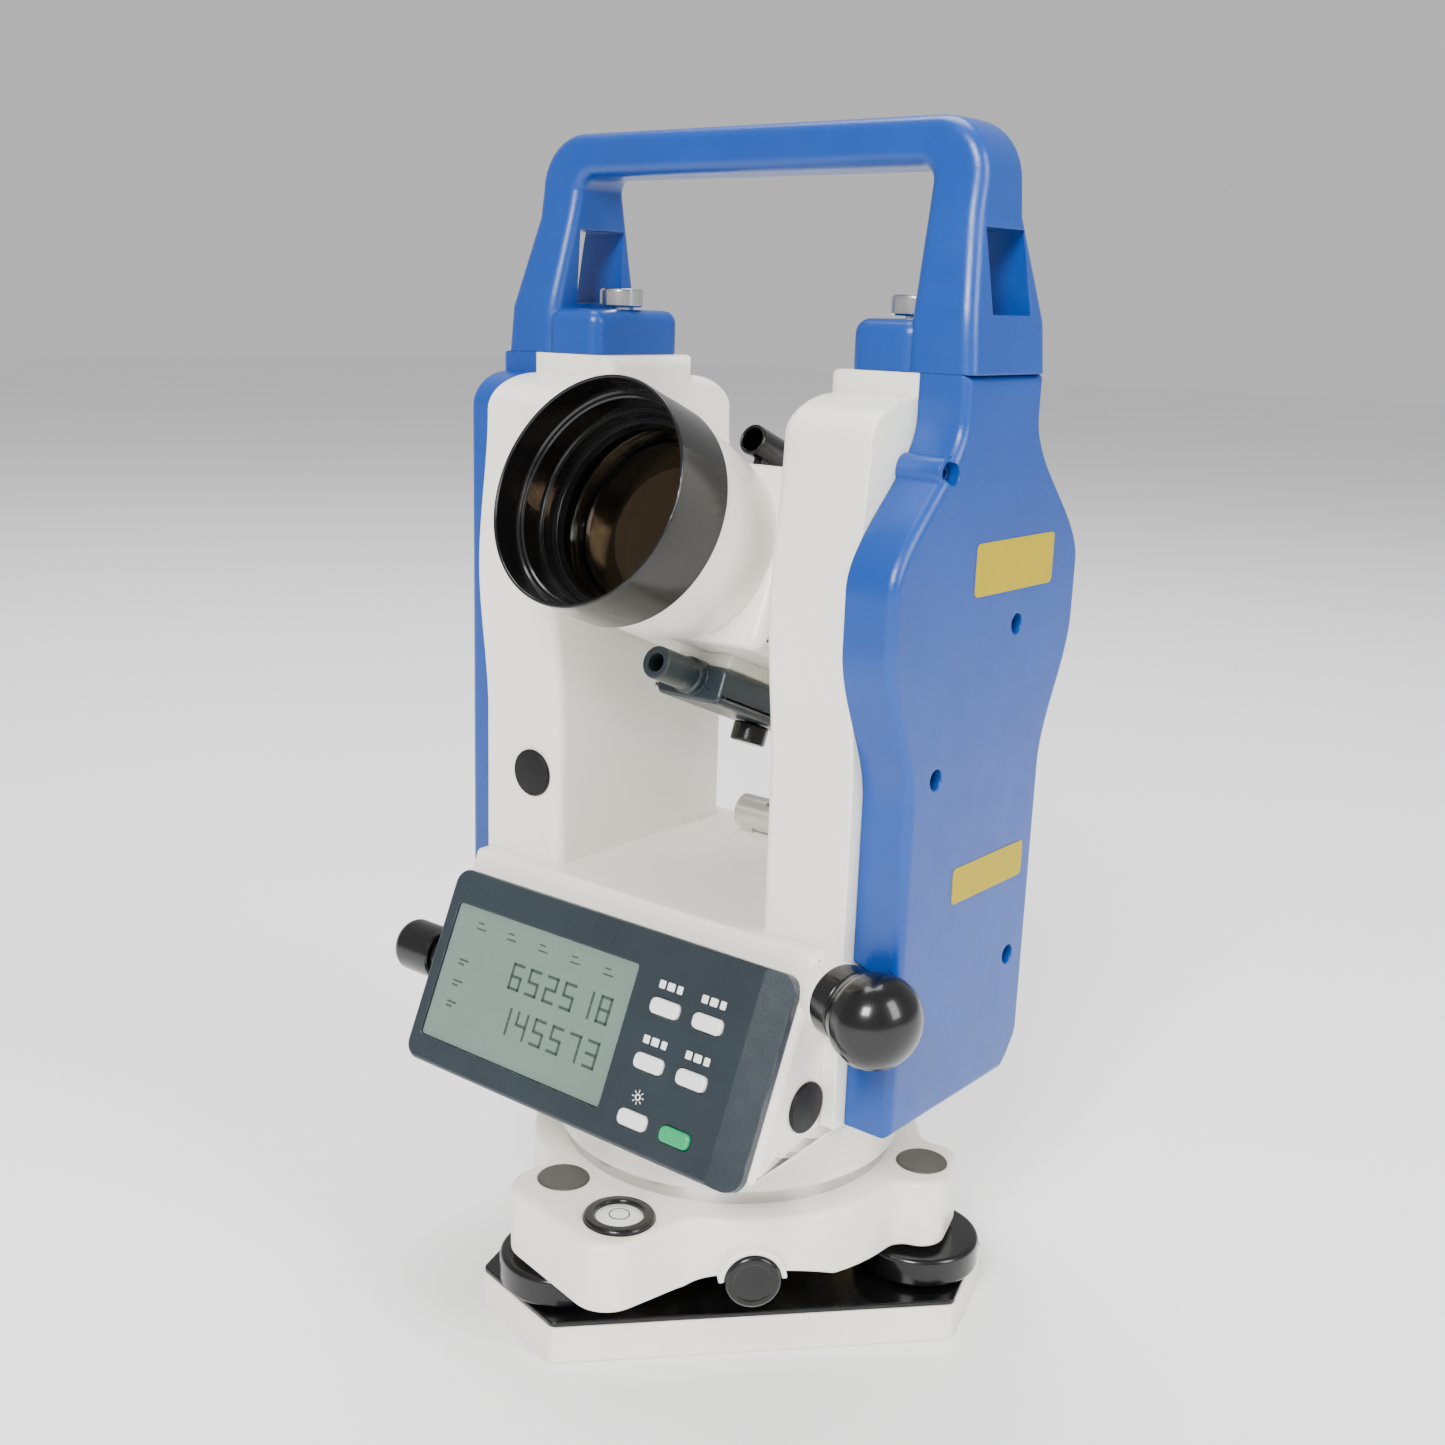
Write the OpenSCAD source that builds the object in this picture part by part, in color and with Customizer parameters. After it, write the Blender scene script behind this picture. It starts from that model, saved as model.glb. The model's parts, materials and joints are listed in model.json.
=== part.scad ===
// Surveying theodolite on a three-screw levelling base.
// Millimetres. Origin on the vertical axis at the bottom of the base plate,
// +Z up, +X to the right of the display, display and objective towards -Y.

/* [Levelling base] */
// Thickness of the base plate
base_t = 11; // [9:0.5:12]
// Distance of each foot screw from the vertical axis
foot_r = 58.6; // [57:0.2:60]
// Direction of the first foot screw
foot_a0 = -102; // [-104:1:-100]
// Height of the levelling head's top face
head_top = 43; // [42.5:0.1:43]
// Height of the levelling head's lobes at their bottom
head_bottom = 23.5; // [23.5:0.1:24]
// Distance from the axis to each side of the base plate
plate_side = 52; // [51:0.5:53]
// Distance from the axis to each cut-off corner of the base plate
plate_end = 74.2; // [74:0.1:76]
// Radius of the foot screw knobs
foot_knob_r = 17.5; // [15:0.5:18]
// Radius of the tripod thread's wall
tripod_thread_r = 6.75; // [6.7:0.05:6.8]

/* [Alidade] */
// Height of the deck between the standards
deck_z = 122.7; // [122:0.1:123]
// Height of the telescope's tilting axis
trunnion_z = 206; // [205:0.5:207]
// Distance from the middle to the inner face of each standard
standard_in = 35.6; // [35.4:0.1:36]
// Height of the joint between the standards and the handle
handle_z = 262; // [261.5:0.5:262.5]
// Top of the carrying handle
handle_top = 320; // [318:1:322]
// Wall of the castings
wall = 3.5; // [3:0.1:4]
// Wall of the side covers
cover_wall = 2.5; // [2:0.1:3]

/* [Display] */
// Width of the display panel
panel_w = 118.7; // [118:0.1:119]
// Height of the display panel along its slope
panel_h = 55.2; // [55:0.1:55.5]
// Slope of the panel away from upright, degrees
panel_tilt = 23.8; // [23:0.1:24]
// Thickness of the panel in front of the casting
panel_t = 5; // [4.8:0.1:5.2]

/* [Telescope] */
// Rest tilt of the objective above the horizon, degrees
telescope_tilt = 22; // [0:1:30]
// Outside radius of the objective hood
hood_r = 29; // [28:0.5:29]
// Distance from the tilting axis to the hood's rim
hood_front = 71; // [69:0.5:71]
// Radius of the steel axles
axle_r = 9; // [8.5:0.1:9]

/* [Hidden] */
$fn = 64;
gap = 0.02;
running = 0.05;
screw_r = 2;

foot_angles = [foot_a0, foot_a0 + 120, foot_a0 + 240];
waist_angles = [foot_a0 + 60, foot_a0 + 180, foot_a0 + 300];
ball_z = 8.5;
ball_r = 5;
spring_t = 1.5;
spring_top = base_t + spring_t;
bush_r = 6.5;
spindle_r = 4;
cap_r = 7;
ring_bottom = 29.5;
ring_top = 34.5;
stud_r = 4;
stud_at = 39;
stud_angles = [20, 140, 260];
lock_angle = -44.7;
lock_z = 27;
level_at = [13, -62.5];
head_r = 57;
lock_boss_r = 9.2;
lock_knob_r = 7.5;

flange_top = 46.5;
circle_z = 59;
spindle_top = 90;
skirt_r = 50;
skirt_bottom = 47;
box_bottom = 68;
box_left = -63.5;
box_right = 57;
right_face = 61.5;
right_cover_x = 75;
left_face = -63.5;
left_cover_x = -77;
standard_bottom = 75.5;
shoulder_z = 247;
neck_z = 256.5;
cover_neck_z = 252;
neck_half = 18;

panel_top = [-48.2, 118.9];
panel_left = -63;
panel_mid = panel_left + panel_w / 2;
slope = tan(panel_tilt);
box_front_top = -panel_top[0] - panel_t * cos(panel_tilt)
                - (deck_z - panel_top[1] + panel_t * sin(panel_tilt)) * slope - gap;

key_x = [21, 35];
key_row = [18, 32.5, 47.2];
key_w = 9.4;
key_h = 4.2;
lcd = [-58.9, 9.2];
lcd_rows = [9.4, 48];

spindle_in = 2.1;
collar_r = 9.4;
collar_from = 6;
collar_to = 12.6;
grip_r = 12;
grip_end = 31;
clamp_at = [57, -36.5, 112];
clamp_turn = 20;
vertical_clamp = [48.5, 30.8, 150];
level_y = 30;
level_z = deck_z + 5.2;
cover_screw_spots = [[-22, 240], [-21, 167], [13, 201], [22, 110]];
plummet = [-47.5, 89.5];
screw_x = 48;
battery_y = 23;
battery_z = [92, 203];

// ---------- helpers ----------

function blend(t) = t * t * (3 - 2 * t);

// Half depth of the right cover at height z: a waist, a bulge at the axis and a neck.
function cover_half_depth(z) =
    z < 161 ? 32 :
    z < 200 ? 32 + 12 * blend((z - 161) / 39) :
    z < 214 ? 44 :
    z < cover_neck_z ? 44 - 26 * blend((z - 214) / (cover_neck_z - 214)) : neck_half;

// Half depth of a standard or of the left cover: its shoulder turns through a quarter ellipse.
function shoulder(z, half) =
    z < shoulder_z ? half :
    z < neck_z ? neck_half + (half - neck_half) * sqrt(1 - pow((z - shoulder_z) / (neck_z - shoulder_z), 2)) :
    neck_half;

// Half depth of each upright: 1 right cover, 0 left cover, 2 both cast standards.
function half_depth(kind, z) =
    kind == 1 ? cover_half_depth(z) :
    kind == 0 ? shoulder(z, 30.5) : shoulder(z, 36.6 + 3.4 * blend(min(1, max(0, 1 - abs(z - 205) / 42))));

// Outline of an upright in Y and Z, from z0 to z1, shrunk by inset.
function upright_outline(kind, z0, z1, inset) =
    let (start = kind == 0 ? shoulder_z : 161,
         low = [for (i = [0 : kind == 0 ? 0 : 20]) start + (shoulder_z - start) * i / 20],
         top = [for (i = [1 : 8]) shoulder_z + (neck_z - shoulder_z) * sin(i * 90 / 8)],
         heights = concat([z0], low, top, [z1]),
         half = [for (z = heights) half_depth(kind, min(z, neck_z)) - inset],
         n = len(heights) - 1)
    concat([for (i = [0 : n]) [half[i], heights[i]]],
           [for (i = [n : -1 : 0]) [-half[i], heights[i]]]);

// A slab lying in Y and Z, between x0 and x1.
module slab_x(x0, x1) {
    translate([x0, 0, 0])
        rotate([90, 0, 90])
            linear_extrude(x1 - x0)
                children();
}

module upright(kind, x0, x1, z0, z1, inset) {
    slab_x(x0, x1)
        polygon(upright_outline(kind, z0, z1, inset));
}

module at_polar(r, a, z) {
    translate([r * cos(a), r * sin(a), z])
        children();
}

module rod_x(x0, x1, y, z, r) {
    translate([x0, y, z])
        rotate([0, 90, 0])
            cylinder(h = x1 - x0, r = r);
}

module ring(h, outer, inner) {
    difference() {
        cylinder(h = h, r = outer);
        translate([0, 0, -1])
            cylinder(h = h + 2, r = inner);
    }
}

module round_rect(w, h, r) {
    square([w - 2 * r, h], center = true);
    square([w, h - 2 * r], center = true);
    for (x = [-1, 1], y = [-1, 1])
        translate([x * (w / 2 - r), y * (h / 2 - r)])
            circle(r = r);
}

// A knob about the Z axis with evenly spaced round flutes.
module fluted(h, r, flutes, flute_r) {
    difference() {
        cylinder(h = h, r = r);
        for (i = [0 : flutes - 1])
            at_polar(r + flute_r * 0.6, i * 360 / flutes, -1)
                cylinder(h = h + 2, r = flute_r);
    }
}

// The panel's frame: x across, y up the slope, z out of its face, origin at its top edge.
module on_panel() {
    translate([0, panel_top[0], panel_top[1]])
        rotate([90 - panel_tilt, 0, 0])
            children();
}

// The telescope's frame: z towards the objective, y up, x across, origin on the tilting axis.
module on_telescope() {
    translate([0, 0, trunnion_z])
        rotate([90 - telescope_tilt, 0, 0])
            children();
}

// ---------- levelling base ----------

module plate_outline(apothem, cut) {
    intersection_for (i = [0 : 2])
        rotate(foot_angles[i])
            translate([-apothem, -150])
                square([apothem + cut, 300]);
}

module base_plate() {
    color("ivory")
        difference() {
            linear_extrude(base_t)
                plate_outline(plate_side, plate_end);
            translate([0, 0, -1])
                cylinder(h = base_t + 2, r = tripod_thread_r);
            for (a = foot_angles)
                at_polar(foot_r, a, ball_z - ball_r - 0.1)
                    cylinder(h = base_t, r = ball_r + 0.15);
            for (a = waist_angles)
                at_polar(36, a, 4)
                    cylinder(h = base_t, r = screw_r + gap);
        }
}

module spring_plate() {
    color("dimgray")
        translate([0, 0, base_t])
            difference() {
                linear_extrude(spring_t)
                    plate_outline(plate_side - 0.3, plate_end - 0.3);
                translate([0, 0, -1])
                    cylinder(h = spring_t + 2, r = 18);
                for (a = foot_angles)
                    at_polar(foot_r, a, -1)
                        cylinder(h = spring_t + 2, r = 4.5);
                for (a = waist_angles)
                    at_polar(36, a, -1)
                        cylinder(h = spring_t + 2, r = screw_r + gap);
            }
}

module spring_plate_screws() {
    color("silver")
        for (a = waist_angles)
            at_polar(36, a, 0) {
                translate([0, 0, 4])
                    cylinder(h = spring_top - 4, r = screw_r);
                translate([0, 0, spring_top])
                    cylinder(h = 2.2, r = 3.6);
            }
}

// Ball foot, neck, fluted knob and threaded spindle, made as one piece.
module foot_screw(a) {
    color("black")
        at_polar(foot_r, a, 0) {
            translate([0, 0, ball_z])
                sphere(r = ball_r);
            translate([0, 0, ball_z])
                cylinder(h = 6, r = 3);
            translate([0, 0, 13])
                fluted(8.7, foot_knob_r, 20, 1.5);
            translate([0, 0, 21])
                cylinder(h = 17, r = spindle_r);
        }
}

module foot_screw_a() {
    foot_screw(foot_angles[0]);
}

module foot_screw_b() {
    foot_screw(foot_angles[1]);
}

module foot_screw_c() {
    foot_screw(foot_angles[2]);
}

// One lobe of the levelling head along +X, from side0 to side1 in Y, with a hollow fillet
// where its upper side runs into the round middle.
module lobe(side0, side1, end, corner, fillet) {
    away = side1 + fillet;
    along = sqrt(pow(head_r + fillet, 2) - pow(away, 2));
    translate([end / 2, (side0 + side1) / 2])
        round_rect(end, side1 - side0, corner);
    difference() {
        polygon([[along - fillet, 0], [along, 0], [along, away],
                 [along * head_r / (head_r + fillet), away * head_r / (head_r + fillet)]]);
        translate([along, away])
            circle(r = fillet);
    }
}

// Plan of the levelling head: a round middle, two plain lobes and a wide front lobe.
module head_plan() {
    circle(r = head_r);
    for (a = [foot_angles[1], foot_angles[2]], side = [0, 1])
        rotate(a)
            mirror([0, side])
                lobe(-13, 13, 67.5, 8, 6);
    rotate(foot_angles[0])
        lobe(-10.5, 37.5, 73.5, 10, 12);
}

module levelling_head() {
    color("ivory")
        difference() {
            union() {
                difference() {
                    translate([0, 0, head_bottom])
                        linear_extrude(head_top - head_bottom)
                            head_plan();
                    for (a = waist_angles)
                        rotate([0, 0, a])
                            rod_x(30, 80, 0, -26, 54);
                }
                rotate([0, 0, lock_angle])
                    rod_x(50, 60, 0, lock_z, lock_boss_r);
            }
            translate([0, 0, head_bottom - 10])
                cylinder(h = 48.5 - head_bottom, r = 44);
            translate([0, 0, head_bottom])
                cylinder(h = 30, r = 32);
            for (a = stud_angles)
                at_polar(stud_at, a, head_bottom)
                    cylinder(h = 30, r = stud_r + gap);
            for (a = foot_angles) {
                at_polar(foot_r, a, head_bottom - 1)
                    cylinder(h = 30, r = bush_r + gap);
                at_polar(foot_r, a, 40.5)
                    cylinder(h = 10, r = cap_r + gap);
            }
            translate([level_at[0], level_at[1], 33])
                cylinder(h = 20, r = 9.5 + gap);
            rotate([0, 0, lock_angle]) {
                rod_x(52, 70, 0, lock_z, lock_knob_r + 0.2);
                rod_x(40, 60, 0, lock_z, 3 + running);
            }
        }
}

module foot_screw_bushes() {
    color("goldenrod")
        for (a = foot_angles)
            at_polar(foot_r, a, head_bottom)
                ring(40 - head_bottom, bush_r, spindle_r + running);
}

module foot_screw_caps() {
    color("dimgray")
        for (a = foot_angles)
            at_polar(foot_r, a, 40.5)
                cylinder(h = 3, r = cap_r);
}

module circular_level_cup() {
    color("black")
        translate([level_at[0], level_at[1], 33])
            difference() {
                cylinder(h = 11.4, r = 9.5);
                translate([0, 0, 3])
                    cylinder(h = 10, r = 6.6 + gap);
            }
}

module circular_level_vial() {
    color("honeydew")
        translate([level_at[0], level_at[1], 36])
            rotate_extrude()
                polygon(concat([[0, 0], [6.6, 0]],
                               [for (i = [0 : 6]) [6.6 * (1 - i / 6), 7.6 + 0.7 * (1 - pow(1 - i / 6, 2))]]));
}

// Clamping ring with a slot over each stud; the lock knob turns it.
module lock_ring() {
    color("darkkhaki")
        difference() {
            translate([0, 0, ring_bottom])
                ring(ring_top - ring_bottom, 43.6, 34);
            for (a = stud_angles, turn = [-15 : 3 : 0])
                at_polar(stud_at, a + turn, ring_bottom - 1)
                    cylinder(h = 10, r = stud_r + 0.3);
        }
}

module lock_knob() {
    color("black")
        rotate([0, 0, lock_angle]) {
            rod_x(52.3, 61, 0, lock_z, lock_knob_r);
            rod_x(44.6, 52.5, 0, lock_z, 3);
        }
}

// ---------- fixed part of the vertical axis ----------

module centring_flange() {
    color("lightgray") {
        translate([0, 0, head_top])
            ring(flange_top - head_top, 48, 16 + gap);
        for (a = stud_angles)
            at_polar(stud_at, a, ring_bottom - 1)
                cylinder(h = head_top - ring_bottom + 1.5, r = stud_r);
    }
}

module axis_sleeve() {
    color("silver")
        difference() {
            union() {
                translate([0, 0, 36])
                    cylinder(h = 48, r = 16);
                translate([0, 0, flange_top])
                    cylinder(h = 4, r = 26);
                translate([0, 0, circle_z - 3])
                    cylinder(h = 3, r = 26);
            }
            translate([0, 0, 30])
                cylinder(h = 60, r = 10 + running);
        }
}

module horizontal_circle() {
    color("lightcyan")
        translate([0, 0, circle_z])
            ring(2, 42, 16 + gap);
}

// ---------- alidade ----------

module axis_spindle() {
    color("silver")
        difference() {
            union() {
                translate([0, 0, 37])
                    cylinder(h = spindle_top - 37, r = 10);
                translate([0, 0, spindle_top - 5])
                    cylinder(h = 5, r = 24);
            }
            translate([0, 0, 30])
                cylinder(h = 70, r = 5);
        }
}

function box_outline(inset, z0, z1) =
    [for (p = [[-1, z0], [1, z0], [1, z1], [-1, z1]])
        [p[0] * (box_front_top + (deck_z - p[1]) * slope - inset), p[1]]];

module frame_outside() {
    slab_x(box_left, box_right)
        polygon(box_outline(0, box_bottom, deck_z));
    translate([0, 0, skirt_bottom])
        cylinder(h = box_bottom - skirt_bottom + 1, r = skirt_r);
    upright(2, standard_in, right_face, standard_bottom, handle_z, 0);
    upright(2, left_face, -standard_in, standard_bottom, handle_z, 0);
    on_horizontal_clamp()
        translate([0, 0, -8])
            cylinder(h = 8 + collar_from - 0.2, r = collar_r - 0.4);
}

module frame_inside() {
    slab_x(box_left + wall, box_right - wall)
        polygon(box_outline(wall * 1.1, box_bottom + wall, deck_z - wall));
    translate([0, 0, skirt_bottom - 1])
        cylinder(h = box_bottom - skirt_bottom + wall + 2, r = skirt_r - wall);
    upright(2, standard_in + wall, right_face - wall, standard_bottom + wall, handle_z - wall, wall);
    upright(2, left_face + wall, -standard_in - wall, standard_bottom + wall, handle_z - wall, wall);
    intersection() {
        upright(1, right_face - wall - 1, right_face + 1, standard_bottom + wall, handle_z - wall, wall);
        upright(2, right_face - wall - 1, right_face + 1, standard_bottom + wall, handle_z - wall, wall);
    }
    upright(0, left_face - 1, left_face + wall + 1, standard_bottom + wall, handle_z - wall, wall);
}

// Bosses inside the casting: axle bearings, handle screws and the spindle's web.
module frame_bosses() {
    for (side = [-1, 1])
        mirror([side < 0 ? 1 : 0, 0, 0]) {
            rod_x(standard_in, standard_in + 9, 0, trunnion_z, 17);
            translate([screw_x - 6, -6, handle_z - 14])
                cube([12, 12, 12]);
        }
    translate([-50, -40, spindle_top])
        cube([100, 80, 5]);
}

module alidade_frame() {
    color("ivory")
        difference() {
            union() {
                difference() {
                    frame_outside();
                    frame_inside();
                }
                frame_bosses();
            }
            for (side = [-1, 1])
                mirror([side < 0 ? 1 : 0, 0, 0]) {
                    rod_x(standard_in - 1, standard_in + 12, 0, trunnion_z, 13 + gap);
                    translate([screw_x, 0, handle_z - 12])
                        cylinder(h = 20, r = 2.5);
                }
            translate([0, 0, spindle_top - 1])
                cylinder(h = 10, r = 5);
            on_panel()
                translate([-57, -50, -20])
                    cube([100, 42, 18]);
            on_horizontal_clamp()
                translate([0, 0, -12])
                    cylinder(h = 20, r = spindle_in + running);
            rod_x(box_left - 1, box_left + 8, plummet[0], plummet[1], 5 + gap);
            on_vertical_clamp()
                translate([0, 0, -12])
                    cylinder(h = 20, r = spindle_in + running);
        }
}

// A side cover is a shell open towards its standard, with a sloping lower rear corner.
module cover_body(kind, x0, x1) {
    difference() {
        union() {
            difference() {
                upright(kind, x0, x1, standard_bottom, handle_z, 0);
                upright(kind, x0 + (kind == 0 ? cover_wall : -1), x1 + (kind == 0 ? 1 : -cover_wall),
                        standard_bottom + cover_wall, handle_z - cover_wall, cover_wall);
            }
            intersection() {
                upright(kind, x0, x1, standard_bottom, handle_z, 0);
                slab_x(x0, x1)
                    polygon([[14, 75], [32, 75], [32, 92], [29, 92]]);
            }
        }
        slab_x(x0 - 1, x1 + 1)
            polygon([[19, 70], [40, 70], [40, 88], [32.5, 85], [29, 80]]);
    }
}

// The right cover has four screw pillars and a hollow where the clamp passes its front edge.
module right_cover() {
    color("royalblue")
        difference() {
            union() {
                cover_body(1, right_face, right_cover_x);
                for (spot = cover_screw_spots)
                    rod_x(right_face, right_cover_x - 1, spot[0], spot[1], 4);
            }
            for (spot = cover_screw_spots) {
                rod_x(right_face - 1, right_cover_x, spot[0], spot[1], 1.5 + gap);
                rod_x(right_cover_x - 4, right_cover_x + 1, spot[0], spot[1], 2.6);
            }
            on_horizontal_clamp() {
                cylinder(h = collar_to, r = collar_r + 0.6);
                translate([0, 0, collar_to - 0.1])
                    cylinder(h = 20, r = grip_r + 0.6);
            }
        }
}

module battery_space(margin) {
    translate([left_cover_x - 1, -battery_y - margin, battery_z[0] - margin])
        cube([11 + 1 + margin, 2 * (battery_y + margin), battery_z[1] - battery_z[0] + 2 * margin]);
}

module left_cover() {
    color("royalblue")
        difference() {
            union() {
                cover_body(0, left_cover_x, left_face);
                intersection() {
                    battery_space(2.2);
                    translate([left_cover_x, -50, 0])
                        cube([20, 100, 300]);
                }
                translate([left_cover_x, -10, battery_z[1] + 1])
                    cube([10, 20, 14]);
            }
            battery_space(0.2);
            translate([left_cover_x - 1, -6.1, battery_z[1] + 0.5])
                cube([8, 12.2, 11]);
        }
}

module cover_screws() {
    color("silver")
        for (spot = cover_screw_spots) {
            rod_x(right_face, right_cover_x - 4, spot[0], spot[1], 1.5);
            rod_x(right_cover_x - 4, right_cover_x - 2, spot[0], spot[1], 2.5);
        }
}

// Plan of the display panel with its wide sloping right border.
module panel_blank(t) {
    intersection() {
        translate([panel_mid, -panel_h / 2, -20])
            linear_extrude(40)
                round_rect(panel_w, panel_h, 4);
        translate([0, -panel_h, 0])
            rotate([-90, 0, 0])
                linear_extrude(panel_h)
                    polygon([[panel_left, t], [panel_left, 1.2], [panel_left + 1.5, 0], [47, 0],
                             [panel_left + panel_w, 2.4], [panel_left + panel_w, t]]);
    }
}

module keys_at() {
    for (x = key_x, s = key_row)
        translate([x, -s, 0])
            children();
}

module display_bezel() {
    color("darkslategray")
        on_panel()
            difference() {
                panel_blank(panel_t);
                translate([lcd[0], -lcd_rows[1], -2.2])
                    cube([lcd[1] - lcd[0], lcd_rows[1] - lcd_rows[0], 5]);
                translate([lcd[0] + 2, -lcd_rows[1] + 2, -10])
                    cube([lcd[1] - lcd[0] - 4, lcd_rows[1] - lcd_rows[0] - 4, 20]);
                keys_at()
                    translate([0, 0, -10])
                        linear_extrude(20)
                            round_rect(key_w + 0.3, key_h + 0.3, 1.6);
            }
}

module display_glass() {
    color("darkseagreen")
        on_panel()
            translate([lcd[0] + gap, -lcd_rows[1] + gap, -2.2])
                cube([lcd[1] - lcd[0] - 2 * gap, lcd_rows[1] - lcd_rows[0] - 2 * gap, 1.6]);
}

module display_board() {
    color("darkgreen")
        on_panel()
            translate([-55, -49, -7.2])
                cube([96, 40, 1.6]);
}

module key_cap(x, s) {
    on_panel()
        translate([x, -s, -4.4])
            linear_extrude(5.4)
                round_rect(key_w, key_h, 1.5);
}

module key_1() {
    color("whitesmoke")
        key_cap(key_x[0], key_row[0]);
}

module key_2() {
    color("whitesmoke")
        key_cap(key_x[1], key_row[0]);
}

module key_3() {
    color("whitesmoke")
        key_cap(key_x[0], key_row[1]);
}

module key_4() {
    color("whitesmoke")
        key_cap(key_x[1], key_row[1]);
}

module key_5() {
    color("whitesmoke")
        key_cap(key_x[0], key_row[2]);
}

module power_key() {
    color("mediumseagreen")
        key_cap(key_x[1], key_row[2]);
}

module rear_panel() {
    color("darkslategray")
        mirror([0, 1, 0])
            on_panel()
                difference() {
                    panel_blank(panel_t);
                    for (x = [panel_left + 8, 45], s = [8, 47])
                        translate([x, -s, -1.2])
                            cylinder(h = 5, r = 2.4);
                }
}

module plate_level() {
    color("silver")
        difference() {
            union() {
                rod_x(-21, 21, level_y, level_z, 5.2);
                for (x = [-19, 15])
                    translate([x, level_y - 4, deck_z])
                        cube([4, 8, 5]);
            }
            rod_x(-18, 18, level_y, level_z, 3.8 + gap);
            translate([-11, level_y - 3, level_z])
                cube([22, 6, 8]);
        }
}

module plate_level_vial() {
    color("honeydew")
        rod_x(-17.5, 17.5, level_y, level_z, 3.8);
}

module side_plugs() {
    color("black") {
        translate([-45.2, -36.6, 148])
            rotate([90, 0, 0])
                cylinder(h = 1.4, r = 6.7);
        rod_x(box_right, box_right + 1.4, -43.4, 83, 6.7);
    }
}

module side_labels() {
    color("yellow") {
        translate([right_cover_x, -9, 209.8])
            cube([0.3, 38, 13]);
        translate([right_cover_x, -9.6, 132])
            cube([0.3, 35, 9.5]);
    }
}

module trunnion_bearings() {
    color("darkgray")
        for (side = [-1, 1])
            mirror([side < 0 ? 1 : 0, 0, 0])
                difference() {
                    rod_x(standard_in + 0.4, standard_in + 9, 0, trunnion_z, 13);
                    rod_x(standard_in - 1, standard_in + 10, 0, trunnion_z, axle_r + running);
                }
}

module plummet_tube() {
    color("black") {
        rod_x(-70, box_left, plummet[0], plummet[1], 6.2);
        rod_x(box_left, -20, plummet[0], plummet[1], 5);
    }
}

module plummet_ring() {
    color("black")
        translate([-70.3, plummet[0], plummet[1]])
            rotate([0, -90, 0])
                rotate_extrude()
                    polygon(concat([[0, 0], [7.2, 0], [7.7, 0.5]],
                                   [for (i = [0 : 6]) let (a = i * 15) [4.7 + 3 * cos(a), 12 + 3 * sin(a)]],
                                   [[0, 15]]));
}

module battery_pack() {
    color("royalblue")
        translate([left_cover_x, -battery_y, battery_z[0]])
            cube([11, 2 * battery_y, battery_z[1] - battery_z[0]]);
}

module battery_latch() {
    color("black")
        translate([left_cover_x - 0.8, -6, battery_z[1] + 4.2])
            cube([7.6, 12, 7.2]);
}

// ---------- handle ----------

// Front outline of the handle, right half, from the foot round the leg to the bar.
function handle_half() =
    concat([[41, handle_z], [75.6, handle_z], [74.6, handle_z + 12], [70.5, 298]],
           [for (i = [0 : 6]) let (a = i * 15) [56.5 + 14 * cos(a), 305.5 + 13.5 * sin(a)]],
           [[0, handle_top], [0, 308.5], [52, 308.2], [55.5, 304.7], [57, handle_z + 12.5],
            [42.3, handle_z + 11.2]]);

module handle() {
    color("royalblue")
        difference() {
            intersection() {
                for (side = [0, 1])
                    mirror([side, 0, 0])
                        translate([0, 50, 0])
                            rotate([90, 0, 0])
                                linear_extrude(100)
                                    polygon(handle_half());
                slab_x(-90, 90)
                    polygon([[-17.9, handle_z], [17.9, handle_z], [17.6, handle_z + 13], [10, 302],
                             [9.3, handle_top + 1], [-9.3, handle_top + 1], [-10, 302],
                             [-17.6, handle_z + 13]]);
            }
            for (side = [0, 1])
                mirror([side, 0, 0]) {
                    translate([50, -8.5, 275.5])
                        cube([40, 18, 19.5]);
                    translate([screw_x, 0, handle_z - 1])
                        cylinder(h = 20, r = 2.5 + running);
                }
        }
}

module handle_screw(x) {
    color("silver")
        translate([x, 0, 0]) {
            translate([0, 0, handle_z - 10])
                cylinder(h = 23, r = 2.4);
            translate([0, 0, handle_z + 12.7])
                fluted(5, 6, 24, 0.4);
        }
}

module handle_screw_left() {
    handle_screw(-screw_x);
}

module handle_screw_right() {
    handle_screw(screw_x);
}

// ---------- clamps and slow-motion knobs ----------

module clamp_collar_shape() {
    translate([0, 0, collar_from])
        ring(collar_to - collar_from, collar_r, spindle_in + running);
}

// The slow-motion knob: a spindle through the collar and a grip with a round end.
module tangent_knob_shape() {
    translate([0, 0, -2])
        cylinder(h = collar_to + 3, r = spindle_in);
    rotate_extrude()
        polygon(concat([[0, collar_to + 0.3], [collar_r - 0.3, collar_to + 0.3], [collar_r + 0.2, collar_to + 0.8],
                        [grip_r - 0.3, 18.5]],
                       [for (i = [0 : 7]) let (a = i * 90 / 8) [grip_r * cos(a), 21 + (grip_end - 21) * sin(a)]],
                       [[0, grip_end]]));
}

module on_horizontal_clamp() {
    translate(clamp_at)
        rotate([0, 0, -clamp_turn])
            rotate([0, 90, 0])
                children();
}

module on_vertical_clamp() {
    translate(vertical_clamp)
        rotate([-90, 0, 0])
            children();
}

module horizontal_clamp() {
    color("black")
        on_horizontal_clamp()
            clamp_collar_shape();
}

module horizontal_tangent() {
    color("black")
        on_horizontal_clamp()
            tangent_knob_shape();
}

module vertical_clamp_collar() {
    color("black")
        on_vertical_clamp()
            clamp_collar_shape();
}

module vertical_tangent() {
    color("black")
        on_vertical_clamp()
            tangent_knob_shape();
}

// ---------- telescope ----------

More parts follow.
